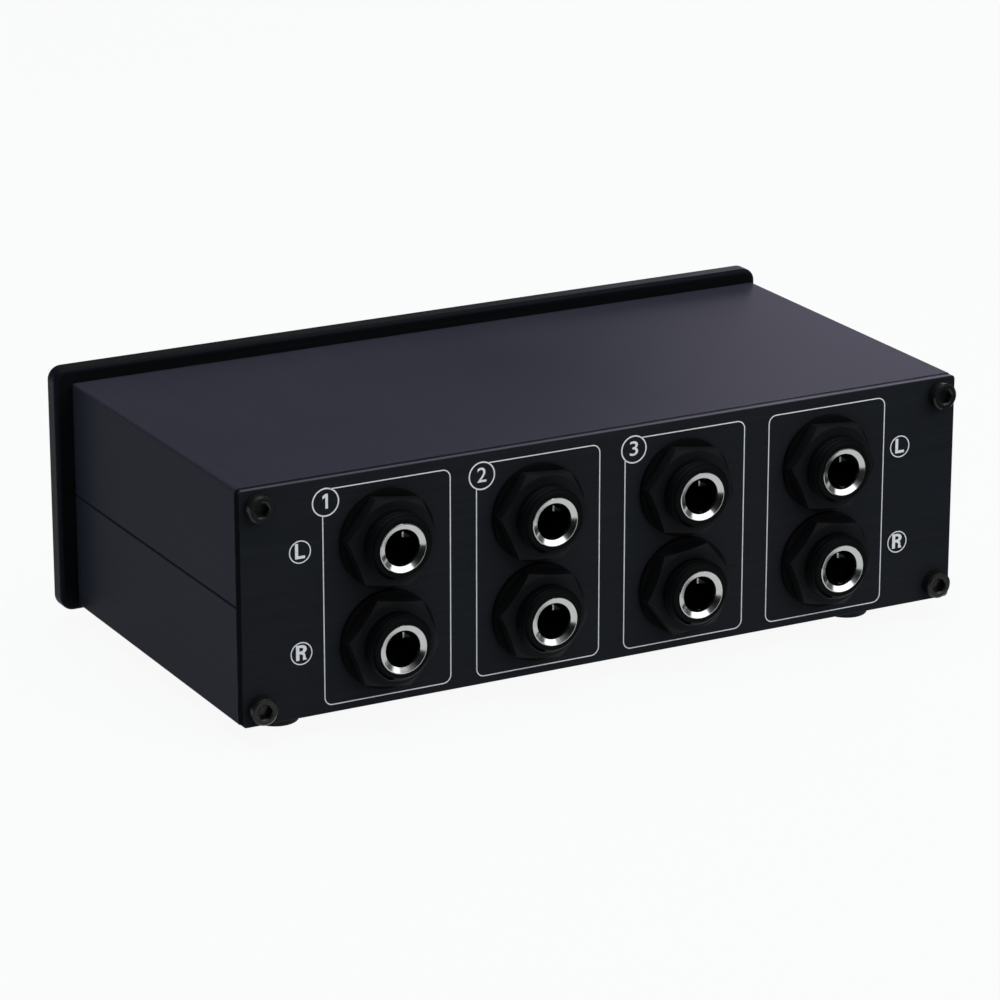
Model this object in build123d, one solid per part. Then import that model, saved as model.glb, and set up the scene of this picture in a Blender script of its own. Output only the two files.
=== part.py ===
from build123d import *
import os
from math import asin, cos, degrees, radians, sin, sqrt

# Speaker selector switch: a split aluminium case with a rotary selector in front and
# four pairs of 6.35 mm jack sockets behind. All sizes are in millimetres.
#
# Frame: +Z is up, the knob faces -Y and the sockets face +Y. The origin lies on the surface
# that the feet stand on, under the middle of the whole object's bounding box.
# "Left" and "right" in a node's name are the audio channels: left is the upper row.

# ---- Case ------------------------------------------------------------------
CASE_WIDTH = 146.0
CASE_HEIGHT = 43.3
SHELL_LENGTH = 70.0
WALL = 2.0
CASE_CORNER_RADIUS = 0.5
CASE_INNER_RADIUS = 0.6
SEAM_GROOVE = 0.3             # bevel along each rim where the two shells meet
LAP_HEIGHT = 1.6              # how far the upper shell's tongue reaches below the seam
LAP_THICKNESS = 0.95          # the tongue, inside the lower shell's lip
LAP_CLEARANCE = 0.1

# ---- Screw channels and board guides inside the shells ------------------------
SCREW_INSET_X = 3.4           # channel axis from the case's side
SCREW_INSET_Z = 3.2           # channel axis from the case's top or bottom
CHANNEL_OUTER_RADIUS = 2.9
CHANNEL_GAP = 1.5             # the channel's open side, which makes it a C
GUIDE_DEPTH = 1.8             # how far a guide rib stands out of the side wall
GUIDE_THICKNESS = 1.2
GUIDE_GAP = 1.8
GUIDE_BELOW_SEAM = 9.0        # middle of a rib pair, from the seam

# ---- Panels ---------------------------------------------------------------
REAR_PANEL_THICKNESS = 2.0
REAR_PANEL_CORNER_RADIUS = 0.8
REAR_PANEL_BEVEL = 0.15       # round its outer face
REAR_PANEL_INNER_BEVEL = 0.6  # round its inner face, open as a thin seam along the shells
FRONT_PANEL_THICKNESS = 4.0
FRONT_PANEL_OVERHANG = 3.5    # past the case's +X side
FRONT_PANEL_SHORT_OVERHANG = 0.5  # past its -X side
FRONT_PANEL_RISE = 2.9        # past the case at the top
FRONT_PANEL_DROP = 0.8        # past the case at the bottom
FRONT_PANEL_CORNER_RADIUS = 2.6
FRONT_PANEL_EDGE_RADIUS = 0.8

# ---- Screws and feet --------------------------------------------------------
SCREW_RADIUS = 1.5            # M3
SCREW_CLEARANCE = 0.2         # round a screw's shank in a panel
CHANNEL_CLEARANCE = 0.05      # round a screw's shank in its channel
CAP_HEAD_RADIUS = 2.5
CAP_HEAD_HEIGHT = 2.2
CAP_HEAD_BEVEL = 0.3
CAP_SOCKET_FLATS = 2.5
CAP_SOCKET_DEPTH = 1.4
CAP_SOCKET_MOUTH_RADIUS = 1.6
CAP_SOCKET_MOUTH_DEPTH = 0.25
CAP_SCREW_LENGTH = 10.0
FLAT_HEAD_RADIUS = 2.9
FLAT_SOCKET_FLATS = 2.0
FLAT_SOCKET_DEPTH = 1.2
FLAT_SCREW_LENGTH = 12.0
FOOT_HEIGHT = 3.5
FOOT_TOP_RADIUS = 5.0
FOOT_SOLE_RADIUS = 4.0
FOOT_EDGE_RADIUS = 0.5
FOOT_INSET_X = 13.7           # a foot's centre from the case's side
FOOT_INSET = 10.0             # a foot's centre from the panels' faces
REAR_FEET_SHIFT = 2.7         # the stuck-on rear pair sits this far to +X of the front pair

# ---- Jack sockets -----------------------------------------------------------
JACK_CHANNELS = ("1", "2", "3", "common")
JACK_END_MARGIN = 28.0        # from the case's side to the first column
JACK_LOW_ROW_SHARE = 0.277    # the lower row above the case's bottom, as a share of the case's height
JACK_SPACING_SHARE = 0.43     # between the two rows, as a share of the case's height
JACK_BORE_RADIUS = 3.25       # takes a 6.35 mm plug
JACK_BORE_DEPTH = 32.3        # from the socket's mouth
BUSHING_RADIUS = 6.0          # M12
BUSHING_REACH = 6.6           # behind the rear panel
BUSHING_BEVEL = 0.7
BUSHING_HOLE_CLEARANCE = 0.15
HOUSING_WIDTH = 15.6
HOUSING_ROW_GAP = 1.6         # between the upper and the lower housings
HOUSING_LENGTH = 25.0
HOUSING_CORNER_RADIUS = 0.8
FERRULE_RADIUS = 4.5
FERRULE_LENGTH = 3.6
FERRULE_PROUD = 0.2           # past the bushing's end
FERRULE_EDGE_BEVEL = 0.08     # round the ring's outer edge
FERRULE_RIM = 0.16            # from the outside to the funnel
FERRULE_FUNNEL_DEPTH = 0.5    # the shallow cone, down to the throat
FERRULE_THROAT_DEPTH = 1.0    # where the throat's steeper cone meets the bore
FERRULE_THROAT_STEP = 0.15    # the throat's radius past the bore's
SEAT_CLEARANCE = 0.03         # round a piece pressed into its seat
JACK_WASHER_GAP = 0.4         # between the washers of the two rows
JACK_WASHER_THICKNESS = 0.9
JACK_NUT_FLATS = 15.5
JACK_NUT_THICKNESS = 2.6
JACK_NUT_BEVEL = 0.6
NUT_CLEARANCE = 0.05
JACK_NUT_TURNS = {            # degrees past a flat-topped hexagon
    "1_left": 8.0, "1_right": 9.0, "2_left": 5.0, "2_right": 9.0,
    "3_left": 8.0, "3_right": -8.0, "common_left": 5.0, "common_right": 9.0,
}

# ---- Contact springs in each socket --------------------------------------------
KEYWAY_WIDTH = 1.4
KEYWAY_DEPTH = 1.6            # past the bore's wall
STRIP_THICKNESS = 0.4
STRIP_WIDTH = 1.0
CROWN_STAND_OFF = 0.03        # from the bore's wall back to a pressed contact's crown
CROWN_RAMP = 3.0              # behind a crown
CROWN_FRONT_RAMP = 0.9
SLEEVE_CROWN_DEPTH = 7.0      # from the socket's mouth
TIP_CROWN_DEPTH = 28.4
TAIL_LENGTH = 2.6             # from the housing's end, through the board

# ---- Boards -----------------------------------------------------------------
BOARD_THICKNESS = 1.6
JACK_BOARD_SIDE_GAP = 8.0     # from the case's side walls
JACK_BOARD_GAP = 1.0          # from the case's top and bottom walls
SWITCH_BOARD_WIDTH = 42.0
SWITCH_BOARD_TOP_GAP = 0.6    # from the case's top wall
TAIL_HOLE_RADIUS = 0.7
LINK_RADIUS = 0.6
LINK_HOLE_CLEARANCE = 0.1
LINK_STUB = 0.9               # past a board's face
LINK_PITCH = 3.6
LINK_COUNT = 4                # in each of the two rows
LINK_EDGE = 2.0               # a row from the switch board's edge

# ---- Rotary selector -----------------------------------------------------------
POLES = 4
STEP_ANGLE = 30.0
POSITIONS_PER_POLE = 3
SELECTOR_RADIUS = 12.7
FRAME_LENGTH = 9.0            # metal front half of the selector's body
FRAME_FLOOR = 2.4
FRAME_BORE_RADIUS = 10.2      # the ridges of the detent track
DETENT_NOTCH_DEPTH = 0.5
DETENT_NOTCH_RADIUS = 1.6
SHAFT_RADIUS = 3.0
SHAFT_CLEARANCE = 0.05
SHAFT_FLAT = 0.6              # depth of the D flat
SELECTOR_THREAD_RADIUS = 5.0  # M10
SELECTOR_THREAD_REACH = 9.0   # ahead of the selector's body
THREAD_HOLE_CLEARANCE = 0.1
LUG_RADIUS = 1.2
LUG_LENGTH = 2.0
LUG_OFFSET = 10.6             # from the selector's axis
LUG_CLEARANCE = 0.15
STOP_RING_RADIUS = 8.6
STOP_RING_THICKNESS = 1.0
STOP_RING_CLEARANCE = 0.15
STOP_TAB_RADIUS = 0.6
STOP_TAB_OFFSET = 7.3
STOP_TAB_BITE = 1.4           # how far a stop tab reaches past the rotor's front face
STOP_PLAY = 1.0               # degrees between a spoke and its stop tab at the end of the travel
ROTOR_RADIUS = 9.9
ROTOR_FRONT_GAP = 0.3         # from the frame's floor
ROTOR_HUB_RADIUS = 6.0
ROTOR_HUB_LENGTH = 6.0
SPOKE_WIDTH = 6.0             # each of the two spokes that hold a detent ball
DETENT_BORE_RADIUS = 1.55
BALL_RADIUS = 1.5
BALL_CLEARANCE = 0.05         # from the ball to the detent track's ridges
DETENT_BORE_FLOOR = 4.0       # from the axis
SPRING_WIRE_RADIUS = 0.2
SPRING_COIL_RADIUS = 1.1
SPRING_TURNS = 4
SPRING_GAP = 0.05             # between a spring's end and its ball
BASE_LENGTH = 8.6             # moulded rear half of the selector's body
BASE_BORE_RADIUS = 10.8
BASE_FLOOR = 3.6
STATOR_THICKNESS = 0.4
STATOR_PAD_RADIUS = 1.1
STATOR_PAD_OFFSET = 8.6
COMMON_INNER_RADIUS = 3.9
COMMON_OUTER_RADIUS = 5.7
COMMON_HALF_ANGLE = 38.0
TERMINAL_RADIUS = 0.5
TERMINAL_CLEARANCE = 0.02
TERMINAL_HOLE_CLEARANCE = 0.15
TERMINAL_STUB = 1.0           # past the switch board
WIPER_THICKNESS = 0.4
WIPER_WIDTH = 1.8
WIPER_MARGIN = 1.1            # past each bump, along the wiper
WIPER_BUMP_RADIUS = 0.8
WIPER_GAP = 0.08              # from a wiper's bumps to the stator contacts
PANEL_WASHER_RADIUS = 8.4
PANEL_WASHER_THICKNESS = 0.8
PANEL_WASHER_TEETH = 8
PANEL_WASHER_NOTCH = 0.8
PANEL_NUT_FLATS = 14.0
PANEL_NUT_THICKNESS = 2.4
PANEL_NUT_BEVEL = 0.5

# ---- Knob --------------------------------------------------------------------
KNOB_RADIUS = 16.0
KNOB_LENGTH = 17.0
KNOB_GAP = 0.8                # from the front panel's face
KNOB_BEVEL = 1.0
KNOB_DISH_RADIUS = 12.5
KNOB_DISH_DEPTH = 0.6
KNOB_RECESS_RADIUS = 10.0
KNOB_RECESS_DEPTH = 6.0
KNOB_BORE_DEPTH = 14.0        # from the knob's rear face
KNOB_BORE_CLEARANCE = 0.02
KNOB_FLUTES = 40
KNOB_FLUTE_RADIUS = 0.7
KNOB_FLUTE_DEPTH = 0.35
KNOB_FLUTE_START = 2.2        # from each end of the knob
SHAFT_TIP_GAP = 0.5           # from the shaft's end to the bottom of the knob's bore
POINTER_WIDTH = 1.4
POINTER_DEPTH = 0.5
POINTER_INNER = 6.0           # from the knob's axis
GRUB_RADIUS = 2.0             # M4
GRUB_CLEARANCE = 0.03
GRUB_LENGTH = 7.0
GRUB_SOCKET_FLATS = 2.0
GRUB_SOCKET_DEPTH = 2.5
GRUB_FROM_FRONT = 6.8         # the grub screw's axis behind the knob's face

# ---- Places that follow from the sizes ------------------------------------------
case_bottom_z = FOOT_HEIGHT
case_floor_z = case_bottom_z + WALL
case_ceiling_z = case_bottom_z + CASE_HEIGHT - WALL
seam_z = case_bottom_z + CASE_HEIGHT / 2
front_panel_width = CASE_WIDTH + FRONT_PANEL_OVERHANG + FRONT_PANEL_SHORT_OVERHANG
case_middle_x = (FRONT_PANEL_SHORT_OVERHANG - FRONT_PANEL_OVERHANG) / 2
front_panel_height = CASE_HEIGHT + FRONT_PANEL_RISE + FRONT_PANEL_DROP
front_panel_middle_z = case_bottom_z - FRONT_PANEL_DROP + front_panel_height / 2
selector_z = front_panel_middle_z

reach_ahead = FRONT_PANEL_THICKNESS + KNOB_GAP + KNOB_LENGTH
reach_behind = SHELL_LENGTH + REAR_PANEL_THICKNESS + BUSHING_REACH + FERRULE_PROUD
case_front_y = (reach_ahead - reach_behind) / 2
panel_face_y = case_front_y - FRONT_PANEL_THICKNESS
shell_rear_y = case_front_y + SHELL_LENGTH
rear_face_y = shell_rear_y + REAR_PANEL_THICKNESS

screw_x = CASE_WIDTH / 2 - SCREW_INSET_X
screw_offset_z = CASE_HEIGHT / 2 - SCREW_INSET_Z
screw_places = [
    (case_middle_x + sx * screw_x, seam_z + sz * screw_offset_z)
    for sx in (-1, 1)
    for sz in (-1, 1)
]

bushing_end_y = rear_face_y + BUSHING_REACH
mouth_y = bushing_end_y + FERRULE_PROUD
bore_end_y = mouth_y - JACK_BORE_DEPTH
ferrule_inner_y = mouth_y - FERRULE_LENGTH
housing_end_y = shell_rear_y - HOUSING_LENGTH
jack_row_spacing = JACK_SPACING_SHARE * CASE_HEIGHT
housing_height = jack_row_spacing - HOUSING_ROW_GAP
jack_washer_radius = (jack_row_spacing - JACK_WASHER_GAP) / 2
jack_pitch = (CASE_WIDTH - 2 * JACK_END_MARGIN) / (len(JACK_CHANNELS) - 1)
first_column_x = case_middle_x + CASE_WIDTH / 2 - JACK_END_MARGIN
jack_columns = [first_column_x - jack_pitch * column for column in range(len(JACK_CHANNELS))]
lower_row_z = case_bottom_z + JACK_LOW_ROW_SHARE * CASE_HEIGHT
jack_rows = {"left": lower_row_z + jack_row_spacing, "right": lower_row_z}
jack_places = {
    f"{channel}_{side}": (x, z)
    for channel, x in zip(JACK_CHANNELS, jack_columns)
    for side, z in jack_rows.items()
}
strip_inner_radius = JACK_BORE_RADIUS + KEYWAY_DEPTH - STRIP_THICKNESS - SEAT_CLEARANCE
crown_radius = JACK_BORE_RADIUS - CROWN_STAND_OFF
tail_x = strip_inner_radius + STRIP_THICKNESS / 2
jack_board_width = CASE_WIDTH - 2 * WALL - 2 * JACK_BOARD_SIDE_GAP
jack_board_height = case_ceiling_z - case_floor_z - 2 * JACK_BOARD_GAP
switch_board_height = 2 * (case_ceiling_z - SWITCH_BOARD_TOP_GAP - selector_z)

frame_rear_y = case_front_y + FRAME_LENGTH
base_rear_y = frame_rear_y + BASE_LENGTH
base_floor_y = base_rear_y - BASE_FLOOR
stator_face_y = base_floor_y - STATOR_THICKNESS
switch_board_rear_y = base_rear_y + BOARD_THICKNESS
jack_board_front_y = housing_end_y - BOARD_THICKNESS
rotor_front_y = case_front_y + FRAME_FLOOR + ROTOR_FRONT_GAP
hub_rear_y = rotor_front_y + ROTOR_HUB_LENGTH
rotor_rear_y = stator_face_y - WIPER_GAP - WIPER_BUMP_RADIUS / 2 - WIPER_THICKNESS
detent_y = rotor_front_y + ROTOR_HUB_LENGTH / 2
ball_offset = FRAME_BORE_RADIUS - BALL_CLEARANCE - BALL_RADIUS
common_pin_offset = (COMMON_INNER_RADIUS + COMMON_OUTER_RADIUS) / 2
half_travel = STEP_ANGLE * (POSITIONS_PER_POLE - 1) / 2
spoke_half_angle = degrees(asin(SPOKE_WIDTH / 2 / STOP_TAB_OFFSET))
tab_half_angle = degrees(asin(STOP_TAB_RADIUS / STOP_TAB_OFFSET))
stop_angle = half_travel + spoke_half_angle + tab_half_angle + STOP_PLAY
pole_angles = [360 / POLES * pole for pole in range(POLES)]
throw_angles = [STEP_ANGLE * throw - half_travel for throw in range(POSITIONS_PER_POLE)]

knob_rear_y = panel_face_y - KNOB_GAP
knob_face_y = knob_rear_y - KNOB_LENGTH
knob_bore_end_y = knob_rear_y - KNOB_BORE_DEPTH
shaft_tip_y = knob_bore_end_y + SHAFT_TIP_GAP
grub_y = knob_face_y + GRUB_FROM_FRONT
link_row_offset = switch_board_height / 2 - LINK_EDGE
link_places = [
    (case_middle_x + LINK_PITCH * (number - (LINK_COUNT - 1) / 2), selector_z + row * link_row_offset)
    for row in (-1, 1)
    for number in range(LINK_COUNT)
]


# ---- Shapes used by several pieces -----------------------------------------------
def section(y):
    """The plane across the case at depth y: drawn x runs along +X and drawn y along +Z."""
    return Plane(origin=(0, y, 0), x_dir=(1, 0, 0), z_dir=(0, -1, 0))


def slab(face, y_front, y_rear):
    """A face drawn in X and Z, made solid from y_front back to y_rear."""
    return extrude(section(y_front) * face, amount=y_front - y_rear)


def rod(x, z, radius, y_front, y_rear):
    """A round bar along Y."""
    return slab(Pos(x, z) * Circle(radius), y_front, y_rear)


def tube(x, z, outer_radius, inner_radius, y_front, y_rear):
    """A round tube along Y."""
    return slab(Pos(x, z) * (Circle(outer_radius) - Circle(inner_radius)), y_front, y_rear)


def turned(x, z, *outline):
    """A piece turned about the line along Y through x and z; outline holds (radius, y) points."""
    half = make_face(Polyline(*outline, close=True))
    return Pos(x, 0, z) * revolve(half, Axis.Y)


def hexagon(flats, turn=0.0):
    """A hexagon given by its width across flats, with a flat on top, turned by some degrees."""
    return Rot(0, 0, turn) * RegularPolygon(flats / 2, 6, major_radius=False)


def polar(radius, angle):
    """X and Z offsets of a point at some radius; the angle is from +Z towards +X."""
    return radius * sin(radians(angle)), radius * cos(radians(angle))


def hex_nut(x, z, flats, hole_radius, bevel, turn, y_front, y_rear, bevel_front):
    """A hexagon nut whose outer face has its corners turned off."""
    corner_radius = flats / sqrt(3)
    body = slab(Pos(x, z) * (hexagon(flats, turn) - Circle(hole_radius)), y_front, y_rear)
    outer, inner = (y_front, y_rear) if bevel_front else (y_rear, y_front)
    step = bevel if bevel_front else -bevel
    envelope = turned(
        x, z, (0, inner), (corner_radius, inner), (corner_radius, outer + step),
        (flats / 2, outer), (0, outer)
    )
    return body & envelope


def d_section(radius, flat_depth):
    """The section of a shaft with a flat filed on its lower side."""
    keep = Pos(0, flat_depth / 2) * Rectangle(3 * radius, 2 * radius - flat_depth)
    return Circle(radius) & keep


# ---- Case --------------------------------------------------------------------
def lower_shell_section():
    """Cross-section of the lower shell about the middle of the case, without its rim."""
    outside = RectangleRounded(CASE_WIDTH, CASE_HEIGHT, CASE_CORNER_RADIUS)
    inside = RectangleRounded(CASE_WIDTH - 2 * WALL, CASE_HEIGHT - 2 * WALL, CASE_INNER_RADIUS)
    lower_half = Pos(0, -CASE_HEIGHT / 4) * Rectangle(CASE_WIDTH, CASE_HEIGHT / 2)
    profile = (outside - inside) & lower_half
    for side in (-1, 1):
        axis = Pos(side * screw_x, -screw_offset_z)
        inward = Rot(0, 0, 90 + side * 45)
        gap = inward * Pos(CHANNEL_OUTER_RADIUS, 0) * Rectangle(2 * CHANNEL_OUTER_RADIUS, CHANNEL_GAP)
        profile += axis * Circle(CHANNEL_OUTER_RADIUS)
        profile -= axis * (Circle(SCREW_RADIUS + CHANNEL_CLEARANCE) + gap)
        for step in (-1, 1):
            rib_z = -GUIDE_BELOW_SEAM + step * (GUIDE_GAP + GUIDE_THICKNESS) / 2
            rib_x = CASE_WIDTH / 2 - WALL - GUIDE_DEPTH / 2
            profile += Pos(side * rib_x, rib_z) * Rectangle(GUIDE_DEPTH, GUIDE_THICKNESS)
        groove = Rot(0, 0, 45) * Rectangle(SEAM_GROOVE * sqrt(2), SEAM_GROOVE * sqrt(2))
        profile -= Pos(side * CASE_WIDTH / 2, 0) * groove
    return profile


def make_bottom_shell():
    """The lower half of the case, with a rebate inside its rim for the upper half's tongue."""
    profile = lower_shell_section()
    rebate_width = LAP_THICKNESS + LAP_CLEARANCE
    for side in (-1, 1):
        rebate_x = side * (CASE_WIDTH / 2 - WALL + rebate_width / 2)
        profile -= Pos(rebate_x, -LAP_HEIGHT / 2) * Rectangle(rebate_width, LAP_HEIGHT)
    return slab(Pos(case_middle_x, seam_z) * profile, case_front_y, shell_rear_y)


def make_top_shell():
    """The upper half of the case, with a tongue that reaches inside the lower half's lip."""
    profile = mirror(lower_shell_section(), about=Plane.XZ)
    tongue_height = LAP_HEIGHT - LAP_CLEARANCE
    for side in (-1, 1):
        tongue_x = side * (CASE_WIDTH / 2 - WALL + LAP_THICKNESS / 2)
        profile += Pos(tongue_x, 0) * Rectangle(LAP_THICKNESS, 2 * tongue_height)
    return slab(Pos(case_middle_x, seam_z) * profile, case_front_y, shell_rear_y)


def make_rear_panel():
    """The rear panel, flush with the case, with the socket and screw holes."""
    middle = Pos(case_middle_x, seam_z)
    outline = middle * RectangleRounded(CASE_WIDTH, CASE_HEIGHT, REAR_PANEL_CORNER_RADIUS)
    plate = slab(outline, shell_rear_y, rear_face_y)
    plate = chamfer(plate.faces().sort_by(Axis.Y)[-1].edges(), REAR_PANEL_BEVEL)
    plate = chamfer(plate.faces().sort_by(Axis.Y)[0].edges(), REAR_PANEL_INNER_BEVEL)
    for x, z in jack_places.values():
        plate -= rod(x, z, BUSHING_RADIUS + BUSHING_HOLE_CLEARANCE, shell_rear_y, rear_face_y)
    for x, z in screw_places:
        plate -= rod(x, z, SCREW_RADIUS + SCREW_CLEARANCE, shell_rear_y, rear_face_y)
    return plate


def flat_screw_form(x, z, growth):
    """The turned form of a countersunk screw; growth widens it all round for its seat."""
    head_radius = FLAT_HEAD_RADIUS + growth
    shank_radius = SCREW_RADIUS + growth
    head_depth = FLAT_HEAD_RADIUS - SCREW_RADIUS
    end_y = panel_face_y + FLAT_SCREW_LENGTH
    return turned(
        x, z, (0, panel_face_y), (head_radius, panel_face_y), (shank_radius, panel_face_y + head_depth),
        (shank_radius, end_y), (0, end_y)
    )


def make_front_panel():
    """The thick front panel, rounded all round, drilled for the selector and its lug."""
    outline = RectangleRounded(front_panel_width, front_panel_height, FRONT_PANEL_CORNER_RADIUS)
    plate = slab(Pos(0, front_panel_middle_z) * outline, panel_face_y, case_front_y)
    rims = plate.faces().sort_by(Axis.Y)[0].edges() + plate.faces().sort_by(Axis.Y)[-1].edges()
    plate = fillet(rims, FRONT_PANEL_EDGE_RADIUS)
    plate -= rod(0, selector_z, SELECTOR_THREAD_RADIUS + THREAD_HOLE_CLEARANCE, panel_face_y, case_front_y)
    lug_hole_y = case_front_y - LUG_LENGTH - LUG_CLEARANCE
    plate -= rod(0, selector_z - LUG_OFFSET, LUG_RADIUS + LUG_CLEARANCE, lug_hole_y, case_front_y)
    for x, z in screw_places:
        plate -= flat_screw_form(x, z, SEAT_CLEARANCE)
    return plate


def make_front_screws():
    """Four countersunk screws, flush with the front panel."""
    screws = []
    for x, z in screw_places:
        socket = slab(Pos(x, z) * hexagon(FLAT_SOCKET_FLATS), panel_face_y, panel_face_y + FLAT_SOCKET_DEPTH)
        screws.append(flat_screw_form(x, z, 0) - socket)
    return screws


def make_rear_screws():
    """Four socket cap screws that hold the rear panel."""
    screws = []
    head_end_y = rear_face_y + CAP_HEAD_HEIGHT
    for x, z in screw_places:
        screw = turned(
            x, z, (0, rear_face_y - CAP_SCREW_LENGTH), (SCREW_RADIUS, rear_face_y - CAP_SCREW_LENGTH),
            (SCREW_RADIUS, rear_face_y), (CAP_HEAD_RADIUS, rear_face_y),
            (CAP_HEAD_RADIUS, head_end_y - CAP_HEAD_BEVEL), (CAP_HEAD_RADIUS - CAP_HEAD_BEVEL, head_end_y),
            (0, head_end_y)
        )
        socket = slab(Pos(x, z) * hexagon(CAP_SOCKET_FLATS), head_end_y - CAP_SOCKET_DEPTH, head_end_y)
        socket_mouth = turned(
            x, z, (0, head_end_y - CAP_SOCKET_MOUTH_DEPTH),
            (CAP_SOCKET_FLATS / 2, head_end_y - CAP_SOCKET_MOUTH_DEPTH),
            (CAP_SOCKET_MOUTH_RADIUS, head_end_y), (0, head_end_y)
        )
        screws.append(screw - socket - socket_mouth)
    return screws


def make_foot(x, y):
    """A tapered rubber foot stuck under the case."""
    half = make_face(Polyline(
        (0, 0), (FOOT_SOLE_RADIUS, 0), (FOOT_TOP_RADIUS, FOOT_HEIGHT), (0, FOOT_HEIGHT), close=True
    ))
    foot = Pos(x, y, 0) * revolve(Plane.XZ * half, Axis.Z)
    sole_rim = foot.edges().filter_by(GeomType.CIRCLE).sort_by(Axis.Z)[0]
    return fillet(sole_rim, FOOT_EDGE_RADIUS)


# ---- Jack sockets ------------------------------------------------------------
def make_jack_housing(x, z):
    """The moulded socket body with its bushing, its bore and a keyway for each contact spring."""
    body_outline = Pos(x, z) * RectangleRounded(HOUSING_WIDTH, housing_height, HOUSING_CORNER_RADIUS)
    body = slab(body_outline, housing_end_y, shell_rear_y)
    body += turned(
        x, z, (0, shell_rear_y), (BUSHING_RADIUS, shell_rear_y),
        (BUSHING_RADIUS, bushing_end_y - BUSHING_BEVEL),
        (BUSHING_RADIUS - BUSHING_BEVEL, bushing_end_y), (0, bushing_end_y)
    )
    body -= rod(x, z, JACK_BORE_RADIUS, bore_end_y, bushing_end_y)
    body -= rod(x, z, FERRULE_RADIUS + SEAT_CLEARANCE, ferrule_inner_y, bushing_end_y)
    reach = JACK_BORE_RADIUS + KEYWAY_DEPTH
    for side, crown_depth in ((-1, SLEEVE_CROWN_DEPTH), (1, TIP_CROWN_DEPTH)):
        keyway_end_y = min(mouth_y - crown_depth + CROWN_RAMP, ferrule_inner_y)
        keyway = Pos(x + side * reach / 2, z) * Rectangle(reach, KEYWAY_WIDTH)
        body -= slab(keyway, housing_end_y, keyway_end_y)
    return body


def make_ferrule(x, z):
    """The plated ring in the bushing's mouth, with a funnel that leads the plug in."""
    return turned(
        x, z, (JACK_BORE_RADIUS, ferrule_inner_y), (FERRULE_RADIUS, ferrule_inner_y),
        (FERRULE_RADIUS, mouth_y - FERRULE_EDGE_BEVEL), (FERRULE_RADIUS - FERRULE_EDGE_BEVEL, mouth_y),
        (FERRULE_RADIUS - FERRULE_RIM, mouth_y),
        (JACK_BORE_RADIUS + FERRULE_THROAT_STEP, mouth_y - FERRULE_FUNNEL_DEPTH),
        (JACK_BORE_RADIUS, mouth_y - FERRULE_THROAT_DEPTH)
    )


def make_jack_washer(x, z):
    """The flat washer between the rear panel and a socket's nut."""
    hole_radius = BUSHING_RADIUS + NUT_CLEARANCE
    return tube(x, z, jack_washer_radius, hole_radius, rear_face_y, rear_face_y + JACK_WASHER_THICKNESS)


def make_jack_nut(x, z, turn):
    """The hexagon nut that clamps a socket to the rear panel."""
    front_y = rear_face_y + JACK_WASHER_THICKNESS
    hole_radius = BUSHING_RADIUS + NUT_CLEARANCE
    return hex_nut(x, z, JACK_NUT_FLATS, hole_radius, JACK_NUT_BEVEL, turn,
                   front_y, front_y + JACK_NUT_THICKNESS, bevel_front=False)


def make_contact(x, z, side, crown_depth):
    """A contact spring: a strip along its keyway with one bent crown, and a tail through the board."""
    crown_y = mouth_y - crown_depth
    end_y = min(crown_y + CROWN_FRONT_RAMP, ferrule_inner_y) - SEAT_CLEARANCE
    lift = strip_inner_radius - crown_radius
    end_radius = crown_radius + lift * (end_y - crown_y) / CROWN_FRONT_RAMP
    line = [
        (strip_inner_radius, housing_end_y - TAIL_LENGTH), (strip_inner_radius, crown_y - CROWN_RAMP),
        (crown_radius, crown_y), (end_radius, end_y),
    ]
    back = [(radius + STRIP_THICKNESS, y) for radius, y in reversed(line)]
    face = make_face(Polyline(*[(side * radius, y) for radius, y in line + back], close=True))
    return Pos(x, 0, z) * extrude(face, amount=STRIP_WIDTH / 2, both=True)


def make_contacts(side, crown_depth):
    """One contact spring in each socket, all on the same side."""
    return [make_contact(x, z, side, crown_depth) for x, z in jack_places.values()]


# ---- Boards --------------------------------------------------------------------
def make_jack_board():
    """The board behind the sockets, which all their contact tails and the wire links enter."""
    board = slab(Pos(case_middle_x, seam_z) * Rectangle(jack_board_width, jack_board_height),
                 jack_board_front_y, housing_end_y)
    for x, z in jack_places.values():
        for side in (-1, 1):
            board -= rod(x + side * tail_x, z, TAIL_HOLE_RADIUS, jack_board_front_y, housing_end_y)
    for x, z in link_places:
        board -= rod(x, z, LINK_RADIUS + LINK_HOLE_CLEARANCE, jack_board_front_y, housing_end_y)
    return board


def terminal_places():
    """X and Z of every selector terminal: the throws' pads, then the poles' commons."""
    places = []
    for pole in pole_angles:
        places += [polar(STATOR_PAD_OFFSET, pole + throw) for throw in throw_angles]
    places += [polar(common_pin_offset, pole) for pole in pole_angles]
    return [(x, selector_z + z) for x, z in places]


def make_switch_board():
    """The board on the back of the selector."""
    board = slab(Pos(0, selector_z) * Rectangle(SWITCH_BOARD_WIDTH, switch_board_height),
                 base_rear_y, switch_board_rear_y)
    for x, z in terminal_places():
        board -= rod(x, z, TERMINAL_RADIUS + TERMINAL_HOLE_CLEARANCE, base_rear_y, switch_board_rear_y)
    for x, z in link_places:
        board -= rod(x, z, LINK_RADIUS + LINK_HOLE_CLEARANCE, base_rear_y, switch_board_rear_y)
    return board


def make_board_links():
    """Straight stiff wires from the switch board to the jack board."""
    front_y = base_rear_y - LINK_STUB
    rear_y = housing_end_y + LINK_STUB
    return [rod(x, z, LINK_RADIUS, front_y, rear_y) for x, z in link_places]


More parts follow.
